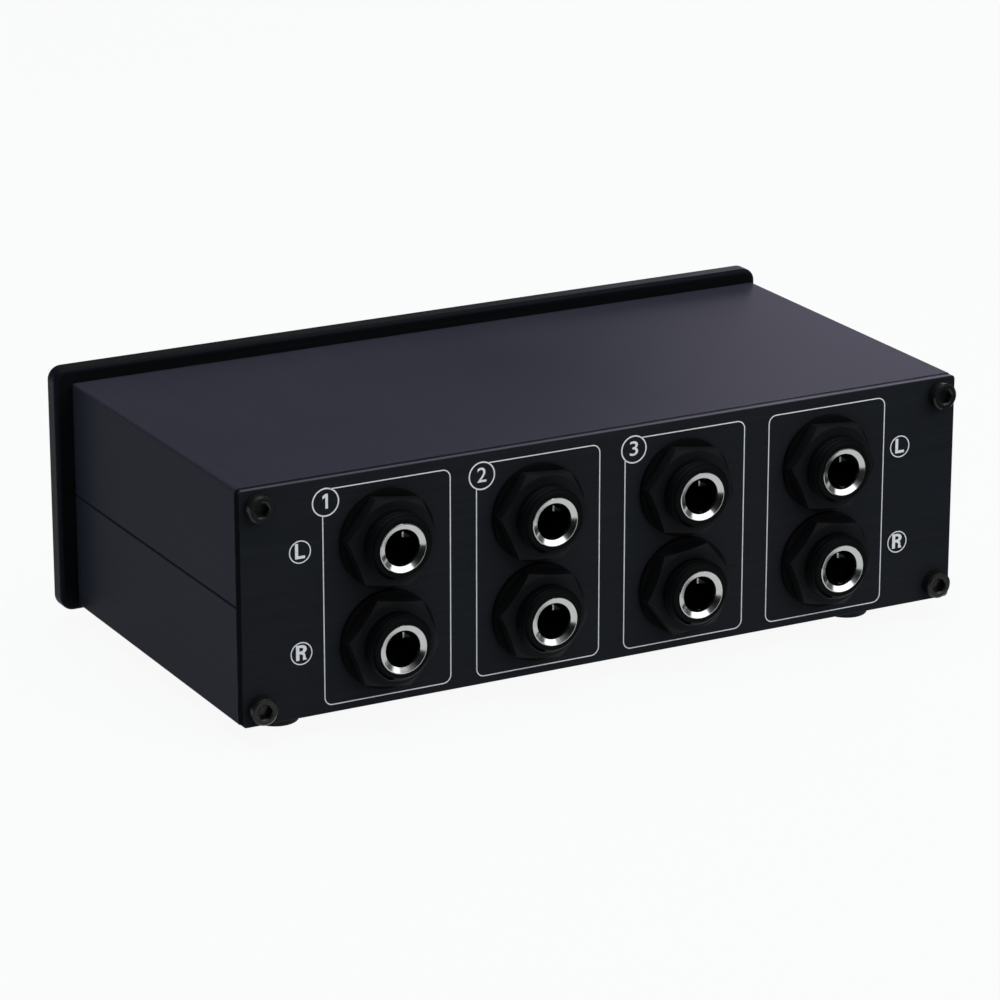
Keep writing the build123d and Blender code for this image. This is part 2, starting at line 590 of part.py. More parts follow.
# ---- Rotary selector --------------------------------------------------------------
def make_switch_frame():
    """The selector's metal front half: threaded neck, stop-ring recess, lug and detent track."""
    neck_y = case_front_y - SELECTOR_THREAD_REACH
    frame = rod(0, selector_z, SELECTOR_RADIUS, case_front_y, frame_rear_y)
    frame += rod(0, selector_z, SELECTOR_THREAD_RADIUS, neck_y, case_front_y)
    frame += rod(0, selector_z - LUG_OFFSET, LUG_RADIUS, case_front_y - LUG_LENGTH, case_front_y)
    frame -= tube(0, selector_z, STOP_RING_RADIUS + STOP_RING_CLEARANCE, SELECTOR_THREAD_RADIUS,
                  case_front_y, case_front_y + STOP_RING_THICKNESS)
    for x, z in stop_tab_places():
        frame -= rod(x, z, STOP_TAB_RADIUS + STOP_RING_CLEARANCE, case_front_y, case_front_y + FRAME_FLOOR)
    frame -= rod(0, selector_z, SHAFT_RADIUS + SHAFT_CLEARANCE, neck_y, frame_rear_y)
    track = Circle(FRAME_BORE_RADIUS)
    notch_offset = FRAME_BORE_RADIUS + DETENT_NOTCH_DEPTH - DETENT_NOTCH_RADIUS
    for number in range(round(360 / STEP_ANGLE)):
        track += Pos(*polar(notch_offset, STEP_ANGLE * number)) * Circle(DETENT_NOTCH_RADIUS)
    frame -= slab(Pos(0, selector_z) * track, case_front_y + FRAME_FLOOR, frame_rear_y)
    return frame


def stop_tab_places():
    """X and Z of the stop ring's two tabs, one for each end of the upper spoke's travel."""
    offsets = [polar(STOP_TAB_OFFSET, side * stop_angle) for side in (-1, 1)]
    return [(x, selector_z + z) for x, z in offsets]


def make_stop_ring():
    """The ring in front of the frame whose two tabs stop the rotor at the ends of its travel."""
    ring = tube(0, selector_z, STOP_RING_RADIUS, SELECTOR_THREAD_RADIUS + STOP_RING_CLEARANCE,
                case_front_y, case_front_y + STOP_RING_THICKNESS)
    for x, z in stop_tab_places():
        ring += rod(x, z, STOP_TAB_RADIUS, case_front_y, rotor_front_y + STOP_TAB_BITE)
    return ring


def make_switch_base():
    """The selector's moulded rear half, a cup whose floor holds the stator contacts."""
    base = rod(0, selector_z, SELECTOR_RADIUS, frame_rear_y, base_rear_y)
    base -= rod(0, selector_z, BASE_BORE_RADIUS, frame_rear_y, base_floor_y)
    for x, z in terminal_places():
        base -= rod(x, z, TERMINAL_RADIUS + TERMINAL_CLEARANCE, base_floor_y, base_rear_y)
    return base


def make_terminals():
    """The stator contacts: a round pad for each throw, a curved rail for each pole, each with its pin."""
    pin_end_y = switch_board_rear_y + TERMINAL_STUB
    pads = len(pole_angles) * len(throw_angles)
    terminals = []
    for number, (x, z) in enumerate(terminal_places()):
        pin = rod(x, z, TERMINAL_RADIUS, stator_face_y, pin_end_y)
        if number < pads:
            face = Pos(x, z) * Circle(STATOR_PAD_RADIUS)
        else:
            face = Pos(0, selector_z) * common_rail(pole_angles[number - pads])
        terminals.append(pin + slab(face, stator_face_y, base_floor_y))
    return terminals


def common_rail(angle):
    """The face of one pole's curved rail, centred on an angle."""
    corners = [polar(2 * COMMON_OUTER_RADIUS, angle + step * COMMON_HALF_ANGLE) for step in (-1, 0, 1)]
    wedge = make_face(Polyline((0, 0), *corners, close=True))
    return (Circle(COMMON_OUTER_RADIUS) - Circle(COMMON_INNER_RADIUS)) & wedge


def make_rotor():
    """The moulded rotor: a hub bored crosswise for the detent, and a disc that carries the wipers."""
    rotor = rod(0, selector_z, ROTOR_RADIUS, rotor_front_y, rotor_rear_y)
    waist = Circle(FRAME_BORE_RADIUS) - Circle(ROTOR_HUB_RADIUS)
    spokes = Rectangle(SPOKE_WIDTH, 2 * FRAME_BORE_RADIUS)
    rotor -= slab(Pos(0, selector_z) * (waist - spokes), rotor_front_y, hub_rear_y)
    for side in (-1, 1):
        start = Plane(origin=(0, detent_y, selector_z + side * DETENT_BORE_FLOOR), z_dir=(0, 0, side))
        rotor -= extrude(start * Circle(DETENT_BORE_RADIUS), amount=ROTOR_RADIUS)
    bore = d_section(SHAFT_RADIUS + KNOB_BORE_CLEARANCE, SHAFT_FLAT)
    return rotor - slab(Pos(0, selector_z) * bore, rotor_front_y, hub_rear_y)


def make_shaft():
    """The selector's shaft, with a flat at each end for the rotor and the knob's grub screw."""
    full = Circle(SHAFT_RADIUS)
    flatted = d_section(SHAFT_RADIUS, SHAFT_FLAT)
    shoulder_y = knob_rear_y - KNOB_RECESS_DEPTH
    shaft = slab(Pos(0, selector_z) * flatted, shaft_tip_y, shoulder_y)
    shaft += slab(Pos(0, selector_z) * full, shoulder_y, rotor_front_y)
    return shaft + slab(Pos(0, selector_z) * flatted, rotor_front_y, hub_rear_y)


def make_wipers():
    """Four bridging contacts on the rotor's rear face, each with two rounded bumps."""
    inner = common_pin_offset
    outer = STATOR_PAD_OFFSET
    bump_y = rotor_rear_y + WIPER_THICKNESS
    bump_end_y = bump_y + WIPER_BUMP_RADIUS / 2
    wipers = []
    for angle in pole_angles:
        bar = Pos(0, (inner + outer) / 2) * Rectangle(WIPER_WIDTH, outer - inner + 2 * WIPER_MARGIN)
        wiper = slab(Pos(0, selector_z) * Rot(0, 0, -angle) * bar, rotor_rear_y, bump_y)
        for offset in (inner, outer):
            x, z = polar(offset, angle)
            wiper += turned(
                x, selector_z + z, (0, bump_y), (WIPER_BUMP_RADIUS, bump_y),
                (WIPER_BUMP_RADIUS / 2, bump_end_y), (0, bump_end_y)
            )
        wipers.append(wiper)
    return wipers


def make_detent_balls():
    """Two steel balls at the ends of the rotor's cross bore, at the height of the track's ridges."""
    return [Pos(0, detent_y, selector_z + side * ball_offset) * Sphere(BALL_RADIUS) for side in (-1, 1)]


def make_detent_springs():
    """The two coil springs that push the detent balls outwards."""
    springs = []
    start = DETENT_BORE_FLOOR + SPRING_WIRE_RADIUS
    ball_reach = sqrt((BALL_RADIUS + SPRING_WIRE_RADIUS) ** 2 - SPRING_COIL_RADIUS ** 2)
    end = ball_offset - ball_reach - SPRING_GAP
    pitch = (end - start) / SPRING_TURNS
    for side in (-1, 1):
        path = Helix(pitch=pitch, height=end - start, radius=SPRING_COIL_RADIUS)
        wire_end = Plane(origin=path @ 0, z_dir=path % 0)
        coil = sweep(wire_end * Circle(SPRING_WIRE_RADIUS), path=path)
        turn = Rot(0, 0, 0) if side > 0 else Rot(180, 0, 0)
        springs.append(Pos(0, detent_y, selector_z) * turn * Pos(0, 0, start) * coil)
    return springs


def make_panel_washer():
    """The toothed lock washer in front of the front panel."""
    hole_radius = SELECTOR_THREAD_RADIUS + NUT_CLEARANCE
    face = Circle(PANEL_WASHER_RADIUS) - Circle(hole_radius)
    for number in range(PANEL_WASHER_TEETH):
        notch = Pos(hole_radius, 0) * Circle(PANEL_WASHER_NOTCH)
        face -= Rot(0, 0, 360 / PANEL_WASHER_TEETH * number) * notch
    return slab(Pos(0, selector_z) * face, panel_face_y - PANEL_WASHER_THICKNESS, panel_face_y)


def make_panel_nut():
    """The nut that holds the selector to the front panel."""
    rear_y = panel_face_y - PANEL_WASHER_THICKNESS
    return hex_nut(0, selector_z, PANEL_NUT_FLATS, SELECTOR_THREAD_RADIUS + NUT_CLEARANCE, PANEL_NUT_BEVEL, 0,
                   rear_y - PANEL_NUT_THICKNESS, rear_y, bevel_front=True)


# ---- Knob ---------------------------------------------------------------------
def make_knob():
    """The turned and fluted knob, hollow behind to clear the panel nut."""
    recess_end_y = knob_rear_y - KNOB_RECESS_DEPTH
    knob = turned(
        0, selector_z, (0, knob_face_y + KNOB_DISH_DEPTH),
        (KNOB_DISH_RADIUS - KNOB_DISH_DEPTH, knob_face_y + KNOB_DISH_DEPTH),
        (KNOB_DISH_RADIUS, knob_face_y), (KNOB_RADIUS - KNOB_BEVEL, knob_face_y),
        (KNOB_RADIUS, knob_face_y + KNOB_BEVEL), (KNOB_RADIUS, knob_rear_y),
        (KNOB_RECESS_RADIUS, knob_rear_y), (KNOB_RECESS_RADIUS, recess_end_y), (0, recess_end_y)
    )
    bore = d_section(SHAFT_RADIUS + KNOB_BORE_CLEARANCE, SHAFT_FLAT)
    knob -= slab(Pos(0, selector_z) * bore, knob_bore_end_y, recess_end_y)
    flute_offset = KNOB_RADIUS + KNOB_FLUTE_RADIUS - KNOB_FLUTE_DEPTH
    flutes = Sketch() + [
        Pos(*polar(flute_offset, 360 / KNOB_FLUTES * (number + 0.5))) * Circle(KNOB_FLUTE_RADIUS)
        for number in range(KNOB_FLUTES)
    ]
    knob -= slab(Pos(0, selector_z) * flutes, knob_face_y + KNOB_FLUTE_START, knob_rear_y - KNOB_FLUTE_START)
    pointer_length = KNOB_RADIUS - POINTER_INNER
    pointer_z = selector_z + POINTER_INNER + pointer_length / 2
    pointer = Pos(0, pointer_z) * Rectangle(POINTER_WIDTH, pointer_length)
    knob -= slab(pointer, knob_face_y, knob_face_y + KNOB_DISH_DEPTH + POINTER_DEPTH)
    grub_plane = Plane(origin=(0, grub_y, selector_z), z_dir=(0, 0, -1))
    return knob - extrude(grub_plane * Circle(GRUB_RADIUS + GRUB_CLEARANCE), amount=KNOB_RADIUS)


def make_grub_screw():
    """The set screw that bears on the shaft's flat from below."""
    seat = SHAFT_RADIUS - SHAFT_FLAT
    start = Plane(origin=(0, grub_y, selector_z - seat), z_dir=(0, 0, -1))
    screw = extrude(start * Circle(GRUB_RADIUS), amount=GRUB_LENGTH)
    end = Plane(origin=(0, grub_y, selector_z - seat - GRUB_LENGTH), z_dir=(0, 0, 1))
    return screw - extrude(end * hexagon(GRUB_SOCKET_FLATS), amount=GRUB_SOCKET_DEPTH)


# ---- All the nodes ---------------------------------------------------------------
def foot_places():
    """X and Y of each foot by name."""
    spread = CASE_WIDTH / 2 - FOOT_INSET_X
    places = {}
    for name, side in (("left", 1), ("right", -1)):
        x = case_middle_x + side * spread
        places[f"foot_front_{name}"] = (x, case_front_y + FOOT_INSET)
        places[f"foot_rear_{name}"] = (x + REAR_FEET_SHIFT, rear_face_y - FOOT_INSET)
    return places


def make_nodes():
    """Every node's name with its solid or its list of solids."""
    nodes = {
        "top_shell": make_top_shell(),
        "bottom_shell": make_bottom_shell(),
        "front_panel": make_front_panel(),
        "rear_panel": make_rear_panel(),
        "front_screws": make_front_screws(),
        "rear_screws": make_rear_screws(),
        "sleeve_contacts": make_contacts(-1, SLEEVE_CROWN_DEPTH),
        "tip_contacts": make_contacts(1, TIP_CROWN_DEPTH),
        "jack_washers": [make_jack_washer(x, z) for x, z in jack_places.values()],
        "jack_board": make_jack_board(),
        "switch_board": make_switch_board(),
        "board_links": make_board_links(),
        "switch_frame": make_switch_frame(),
        "switch_base": make_switch_base(),
        "switch_terminals": make_terminals(),
        "stop_ring": make_stop_ring(),
        "panel_washer": make_panel_washer(),
        "panel_nut": make_panel_nut(),
        "selector_shaft": make_shaft(),
        "selector_rotor": make_rotor(),
        "rotor_wipers": make_wipers(),
        "detent_balls": make_detent_balls(),
        "detent_springs": make_detent_springs(),
        "knob": make_knob(),
        "knob_grub_screw": make_grub_screw(),
    }
    for name, (x, y) in foot_places().items():
        nodes[name] = make_foot(x, y)
    for name, (x, z) in jack_places.items():
        nodes[f"jack_housing_{name}"] = make_jack_housing(x, z)
        nodes[f"jack_ferrule_{name}"] = make_ferrule(x, z)
        nodes[f"jack_nut_{name}"] = make_jack_nut(x, z, JACK_NUT_TURNS[name])
    return nodes


def write_nodes(nodes):
    """Write each node to its own STEP file."""
    os.makedirs("parts", exist_ok=True)
    for name, shape in nodes.items():
        pieces = shape if isinstance(shape, list) else [shape]
        solids = [solid for piece in pieces for solid in piece.solids()]
        body = solids[0] if len(solids) == 1 else Compound(children=solids)
        body.label = name
        export_step(body, f"parts/{name}.step")


write_nodes(make_nodes())
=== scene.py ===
"""Looks of the speaker selector switch: its finishes, printing and threads, and a plain studio.

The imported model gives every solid. This script dresses the solids, adds the printing on both
panels, the threads of the sockets and the paint of the knob's pointer, and sets up floor, lamps
and camera. The object's sizes are in millimetres and the studio's in metres, as Blender's are.
"""

import logging
import math
from contextlib import contextmanager
from dataclasses import dataclass, field
from enum import Enum
from typing import Any, Callable, Iterator, TypeAlias

import bmesh
import bpy
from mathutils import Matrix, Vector

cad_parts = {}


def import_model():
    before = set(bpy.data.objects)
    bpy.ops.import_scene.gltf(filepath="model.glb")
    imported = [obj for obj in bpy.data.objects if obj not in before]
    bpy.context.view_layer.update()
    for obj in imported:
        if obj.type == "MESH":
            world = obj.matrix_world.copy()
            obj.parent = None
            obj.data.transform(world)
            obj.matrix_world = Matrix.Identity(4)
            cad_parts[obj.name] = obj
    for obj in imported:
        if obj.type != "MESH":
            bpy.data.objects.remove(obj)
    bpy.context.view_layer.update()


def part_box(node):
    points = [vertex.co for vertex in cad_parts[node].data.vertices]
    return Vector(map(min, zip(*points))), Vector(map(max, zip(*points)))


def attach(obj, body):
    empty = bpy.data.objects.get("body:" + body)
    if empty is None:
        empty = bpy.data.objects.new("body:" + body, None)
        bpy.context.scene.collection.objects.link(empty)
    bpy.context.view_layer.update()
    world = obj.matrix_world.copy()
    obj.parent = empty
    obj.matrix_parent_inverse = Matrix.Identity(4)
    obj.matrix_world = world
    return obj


MM = 0.001
LOG = logging.getLogger("selector_switch")

Colour: TypeAlias = tuple[float, float, float]
Point: TypeAlias = tuple[float, float, float]
Spot: TypeAlias = tuple[float, float]
Number: TypeAlias = "float | Signal"
Piece: TypeAlias = bpy.types.Object

ORIGIN: Point = (0.0, 0.0, 0.0)


# ---- Modelling by hand in code -----------------------------------------------------------
class Facing(Enum):
    """Which face of the box a flat piece is stood up against, as a turn about X, Y and Z."""

    REAR = (math.pi / 2, 0.0, math.pi)
    FRONT = (math.pi / 2, 0.0, 0.0)


class Body(Enum):
    """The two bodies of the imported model."""

    CASE = "case"
    SELECTOR = "selector"


def select_only(*pieces: Piece) -> None:
    """Select these pieces and nothing else, the first of them active.

    Args:
        pieces: The pieces to select, or none to leave nothing selected.
    """
    bpy.ops.object.select_all(action="DESELECT")
    for piece in pieces:
        piece.select_set(True)
    bpy.context.view_layer.objects.active = pieces[0] if pieces else None


def newest(name: str) -> Piece:
    """Name the piece that an operator has just made.

    Args:
        name: Its name.

    Returns:
        The piece.
    """
    piece = bpy.context.object
    piece.name = name
    piece.data.name = name
    return piece


def new_plane(name: str) -> Piece:
    """Add a flat square, one metre wide, with its middle on the origin.

    Args:
        name: Its name.

    Returns:
        The square.
    """
    select_only()
    bpy.ops.mesh.primitive_plane_add(size=1.0)
    return newest(name)


@contextmanager
def editing(piece: Piece) -> Iterator[Piece]:
    """Open a piece in edit mode with all of it selected, and leave edit mode at the end.

    Args:
        piece: The mesh to edit.

    Yields:
        The same piece.
    """
    select_only(piece)
    bpy.ops.object.mode_set(mode="EDIT")
    bpy.ops.mesh.select_mode(type="VERT")
    bpy.ops.mesh.select_all(action="SELECT")
    yield piece
    bpy.ops.object.mode_set(mode="OBJECT")


def pick_vertices(piece: Piece, wanted: Callable[[Vector], bool]) -> None:
    """In edit mode, select only the vertices whose place passes a test.

    Args:
        piece: The mesh in edit mode.
        wanted: Takes a vertex's place and says whether it is selected.
    """
    bpy.ops.mesh.select_mode(type="VERT")
    bpy.ops.mesh.select_all(action="DESELECT")
    mesh = bmesh.from_edit_mesh(piece.data)
    for vertex in mesh.verts:
        vertex.select_set(wanted(vertex.co))
    mesh.select_flush(True)
    bmesh.update_edit_mesh(piece.data)


def inset_all(thickness: float, depth: float = 0.0) -> None:
    """In edit mode, inset every face, and leave the inner faces selected.

    Args:
        thickness: The new rim's width, in millimetres.
        depth: How far the inner faces move along their normals, in millimetres.
    """
    bpy.ops.mesh.select_mode(type="FACE")
    bpy.ops.mesh.select_all(action="SELECT")
    bpy.ops.mesh.inset(thickness=thickness * MM, depth=depth * MM)


def resize(x: float, y: float, z: float = 1.0, about: Point = ORIGIN) -> None:
    """In edit mode, scale what is selected about a point."""
    bpy.ops.transform.resize(value=(x, y, z), center_override=about)


def shift(x: float, y: float = 0.0, z: float = 0.0) -> None:
    """In edit mode, move what is selected, in metres."""
    bpy.ops.transform.translate(value=(x, y, z))


def tip_up() -> None:
    """In edit mode, turn what is selected a quarter turn about the X axis."""
    bpy.ops.transform.rotate(value=math.pi / 2, orient_axis="X", center_override=ORIGIN)


def flat(spot: Spot) -> Point:
    """A place on Z = 0, in metres."""
    return (spot[0] * MM, spot[1] * MM, 0.0)


def apply_modifier(piece: Piece, kind: str, **settings: Any) -> None:
    """Add a modifier to a piece and apply it at once.

    Args:
        piece: The mesh that gets the modifier.
        kind: The modifier's type, such as SOLIDIFY.
        settings: The modifier's settings by name.
    """
    select_only(piece)
    modifier = piece.modifiers.new(kind.lower(), kind)
    for name, value in settings.items():
        setattr(modifier, name, value)
    bpy.ops.object.modifier_apply(modifier=modifier.name)


def thicken(piece: Piece, thickness: float) -> None:
    """Give a flat piece its thickness along its normal, in millimetres."""
    apply_modifier(piece, "SOLIDIFY", thickness=thickness * MM, offset=1.0, use_even_offset=True)


def cut_with(piece: Piece, tool: Piece) -> None:
    """Cut a closed tool's shape out of a piece, and throw the tool away."""
    apply_modifier(piece, "BOOLEAN", operation="DIFFERENCE", solver="EXACT", object=tool)
    bpy.data.objects.remove(tool)


def joined(name: str, parts: list[Piece]) -> Piece:
    """Join several meshes into one piece.

    Args:
        name: The piece's name.
        parts: The meshes, which are used up.

    Returns:
        The joined piece.
    """
    select_only(*parts)
    if len(parts) > 1:
        bpy.ops.object.join()
    return newest(name)


def stand_up(piece: Piece, facing: Facing, face_y: float, sunk: float) -> None:
    """Stand a piece that lies flat on Z = 0 against one of the panels, and apply its place.

    Args:
        piece: A mesh drawn in X and Y as its reader sees it.
        facing: The panel's side.
        face_y: Where the panel's face is.
        sunk: How far the piece reaches into the panel.
    """
    outward = 1 if facing is Facing.REAR else -1
    piece.rotation_euler = facing.value
    piece.location = (0.0, (face_y - outward * sunk) * MM, 0.0)
    select_only(piece)
    bpy.ops.object.transform_apply(location=True, rotation=True, scale=True)


def copy_of(piece: Piece, name: str, moved: Point) -> Piece:
    """Copy a piece with a mesh of its own, moved in its mesh.

    Args:
        piece: The piece to copy.
        name: The copy's name.
        moved: How far it moves.

    Returns:
        The copy.
    """
    select_only(piece)
    bpy.ops.object.duplicate(linked=False)
    copy = newest(name)
    copy.location = [distance * MM for distance in moved]
    bpy.ops.object.transform_apply(location=True, rotation=False, scale=False)
    return copy


def box_of(node: str) -> tuple[Vector, Vector]:
    """The lowest and highest corner of a CAD node, in millimetres."""
    low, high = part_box(node)
    return low / MM, high / MM


# ---- Shader maths as Python expressions ----------------------------------------------------
class Signal:
    """One output socket of a material's node. Arithmetic on it adds Math nodes."""

    def __init__(self, paint: "Paint", socket: bpy.types.NodeSocket) -> None:
        """Keep the material being built and the socket."""
        self.paint = paint
        self.socket = socket

    def apply(self, operation: str, *others: Number) -> "Signal":
        """Add a Math node that takes this value first and then the others."""
        return self.paint.math(operation, self, *others)

    def __add__(self, other: Number) -> "Signal":
        """This value plus another."""
        return self.apply("ADD", other)

    def __sub__(self, other: Number) -> "Signal":
        """This value less another."""
        return self.apply("SUBTRACT", other)

    def __rsub__(self, other: float) -> "Signal":
        """Another value less this one."""
        return self.paint.math("SUBTRACT", other, self)

    def __mul__(self, other: Number) -> "Signal":
        """This value times another."""
        return self.apply("MULTIPLY", other)

    __radd__ = __add__
    __rmul__ = __mul__

    def __pow__(self, other: float) -> "Signal":
        """This value to a power."""
        return self.apply("POWER", other)

    def __abs__(self) -> "Signal":
        """This value without its sign."""
        return self.apply("ABSOLUTE")

    def least(self, other: Number) -> "Signal":
        """The lesser of this value and another."""
        return self.apply("MINIMUM", other)

    def most(self, other: Number) -> "Signal":
        """The greater of this value and another."""
        return self.apply("MAXIMUM", other)

    def inside(self, start: float, end: float) -> "Signal":
        """How far this value lies inside a span, from the span's nearer end."""
        return (self - start).least(end - self)

    def about(self, middle: float, period: float) -> "Signal":
        """The signed distance from the nearest of a row of places, one of them at the middle."""
        return (self - (middle - period / 2)).apply("FLOORED_MODULO", period) - period / 2

    def wave(self, length: float) -> "Signal":
        """A wave from 0 to 1 whose crests are this far apart."""
        return (self * (math.tau / length)).apply("SINE") * 0.5 + 0.5

    def swing(self, width: float) -> "Signal":
        """This value, from 0 to 1, as a swing of some width about 0."""
        return (self - 0.5) * width

    def between(self, start: float, end: float) -> "Signal":
        """Rise smoothly from 0 at start to 1 at end; start may be the greater.

        Args:
            start: Where the result is 0.
            end: Where the result is 1.

        Returns:
            The result, from 0 to 1.
        """
        made = self.paint.node(
            "ShaderNodeMapRange",
            {"interpolation_type": "SMOOTHSTEP", "clamp": True},
            {"Value": self, "From Min": start, "From Max": end},
        )
        return self.paint.out(made)


class Paint:
    """A material while it is built, with one method that adds every kind of node."""

    def __init__(self, name: str) -> None:
        """Start a material with a Principled shader.

        Args:
            name: The material's name.
        """
        self.material = bpy.data.materials.new(name)
        self.material.use_nodes = True
        self.nodes = self.material.node_tree.nodes
        self.links = self.material.node_tree.links
        self.nodes.clear()
        self.shader = self.node("ShaderNodeBsdfPrincipled")
        self.end = self.node("ShaderNodeOutputMaterial", sockets={"Surface": self.out(self.shader)})
        self._axes: dict[str, Signal] = {}

    def node(
        self,
        kind: str,
        settings: dict[str, Any] | None = None,
        sockets: dict[str | int, Any] | None = None,
    ) -> bpy.types.Node:
        """Add a node: first its settings, then the values or links of its sockets.

        Args:
            kind: The node's type.
            settings: Its settings by name; stops are a colour ramp's places and greys.
            sockets: Values or signals by the socket's name or number.

        Returns:
            The node.
        """
        made = self.nodes.new(kind)
        for name, value in (settings or {}).items():
            if name == "stops":
                self._set_stops(made.color_ramp, value)
            else:
                setattr(made, name, value)
        for key, value in (sockets or {}).items():
            self._feed(made.inputs[key], value)
        return made

    def _set_stops(self, ramp: bpy.types.ColorRamp, stops: tuple[Spot, ...]) -> None:
        """Give a colour ramp its stops.

        Args:
            ramp: The ramp, which starts with two stops.
            stops: Place and grey of each stop.
        """
        while len(ramp.elements) < len(stops):
            ramp.elements.new(1.0)
        for element, (place, grey) in zip(ramp.elements, stops):
            element.position = place
            element.color = (grey, grey, grey, 1.0)

    def _feed(self, socket: bpy.types.NodeSocket, value: Any) -> None:
        """Link a signal to a socket or set the socket's own value.

        Args:
            socket: An input socket.
            value: A signal, a number, or three numbers for a colour or vector.
        """
        if isinstance(value, Signal):
            self.links.new(value.socket, socket)
        elif socket.type == "RGBA" and len(value) == 3:
            socket.default_value = (*value, 1.0)
        else:
            socket.default_value = value

    def out(self, node: bpy.types.Node, key: str | int = 0) -> Signal:
        """One of a node's outputs as a signal."""
        return Signal(self, node.outputs[key])

    def math(self, operation: str, *values: Number) -> Signal:
        """Add a Math node with its inputs in order."""
        settings = {"operation": operation}
        return self.out(self.node("ShaderNodeMath", settings, dict(enumerate(values))))

    def place(self) -> Signal:
        """The point's place in the row frame, in metres."""
        return self.out(self.node("ShaderNodeTexCoord"), "Object")

    def axis(self, name: str) -> Signal:
        """One coordinate of the point's place, in millimetres.

        Args:
            name: X, Y or Z.

        Returns:
            The coordinate.
        """
        if not self._axes:
            split = self.node("ShaderNodeSeparateXYZ", sockets={0: self.place()})
            self._axes = {axis: self.out(split, axis) * (1 / MM) for axis in "XYZ"}
        return self._axes[name]

    def noise(
        self, cell: float | Point, detail: float = 2.0, roughness: float = 0.5, moved: float = 0.0
    ) -> Signal:
        """Smooth noise from 0 to 1 over the piece.

        Args:
            cell: A cell's length, or its lengths along X, Y and Z, in millimetres.
            detail: How many finer layers are added.
            roughness: How strong the finer layers are.
            moved: Moves the pattern, so that two noises differ.

        Returns:
            The noise.
        """
        lengths = cell if isinstance(cell, tuple) else (cell,) * 3
        sockets = {
            "Vector": self.place(),
            "Location": (moved, moved * 1.7, moved * 2.3),
            "Scale": tuple(1 / (MM * length) for length in lengths),
        }
        mapped = self.out(self.node("ShaderNodeMapping", {"vector_type": "POINT"}, sockets))
        sockets = {"Vector": mapped, "Scale": 1.0, "Detail": detail, "Roughness": roughness}
        return self.out(self.node("ShaderNodeTexNoise", {"noise_dimensions": "3D"}, sockets))

    def patches(self) -> Signal:
        """Broken patches, some millimetres wide, in which a rubbed edge shows."""
        return self.noise(6.0, detail=4.0, roughness=0.65, moved=3.1).between(0.35, 0.7)

    def mix(self, share: Signal, first: Colour | Signal, second: Colour | Signal) -> Signal:
        """Mix two colours; a share of 0 gives the first and 1 the second."""
        settings = {"data_type": "RGBA", "clamp_factor": True}
        return self.out(self.node("ShaderNodeMix", settings, {0: share, 6: first, 7: second}), 2)

    def relief(self, height: Signal, depth: float) -> Signal:
        """Turn a height from 0 to 1 into the normal of a relief of this depth, in millimetres."""
        sockets = {"Strength": 1.0, "Distance": depth * MM, "Height": height}
        return self.out(self.node("ShaderNodeBump", sockets=sockets), "Normal")

    def glow(self, share: Signal) -> None:
        """Replace part of the surface by plain white light.

        Args:
            share: 0 for the surface as it is, 1 for white alone.
        """
        white = self.node("ShaderNodeEmission", sockets={"Color": (1.0, 1.0, 1.0), "Strength": 1.0})
        sockets = {0: share, 1: self.out(self.shader), 2: self.out(white)}
        mixed = self.node("ShaderNodeMixShader", sockets=sockets)
        self._feed(self.end.inputs["Surface"], self.out(mixed))

    def set(self, **values: Any) -> None:
        """Set or link the shader's sockets by name; an underscore stands for a space."""
        for name, value in values.items():
            self._feed(self.shader.inputs[name.replace("_", " ")], value)


def distance(across: Signal, up: Signal) -> Signal:
    """The straight distance that two distances at a right angle make."""
    return (across * across + up * up) ** 0.5


def rub_on_edges(paint: Paint, low: Vector, high: Vector, reach: float) -> Signal:
    """Where a box-shaped piece is rubbed: close to its edges, in broken patches.

    Args:
        paint: The material being built.
        low: The box's lowest corner, in millimetres.
        high: Its highest corner.
        reach: How far from an edge the rubbing fades out.

    Returns:
        The rubbing, from 0 to 1.
    """
    first, second, third = (
        paint.axis(axis).inside(start, end) for axis, start, end in zip("XYZ", low, high)
    )
    to_edge = first.least(second).most(first.most(second).least(third))
    return to_edge.between(reach, 0.0) * paint.patches()


def inside_outline(paint: Paint, low: Vector, high: Vector, corner: float) -> Signal:
    """How far a point of a plate lies inside its rounded outline in X and Z.

    Args:
        paint: The material being built.
        low: The plate's lowest corner, in millimetres.
        high: Its highest corner.
        corner: The outline's corner radius.

    Returns:
        The distance from the outline, in millimetres.
    """
    across, up = (
        abs(paint.axis(axis) - (start + end) / 2) - ((end - start) / 2 - corner)
        for axis, start, end in (("X", low.x, high.x), ("Z", low.z, high.z))
    )
    return corner - distance(across.most(0.0), up.most(0.0)) - across.most(up).least(0.0)


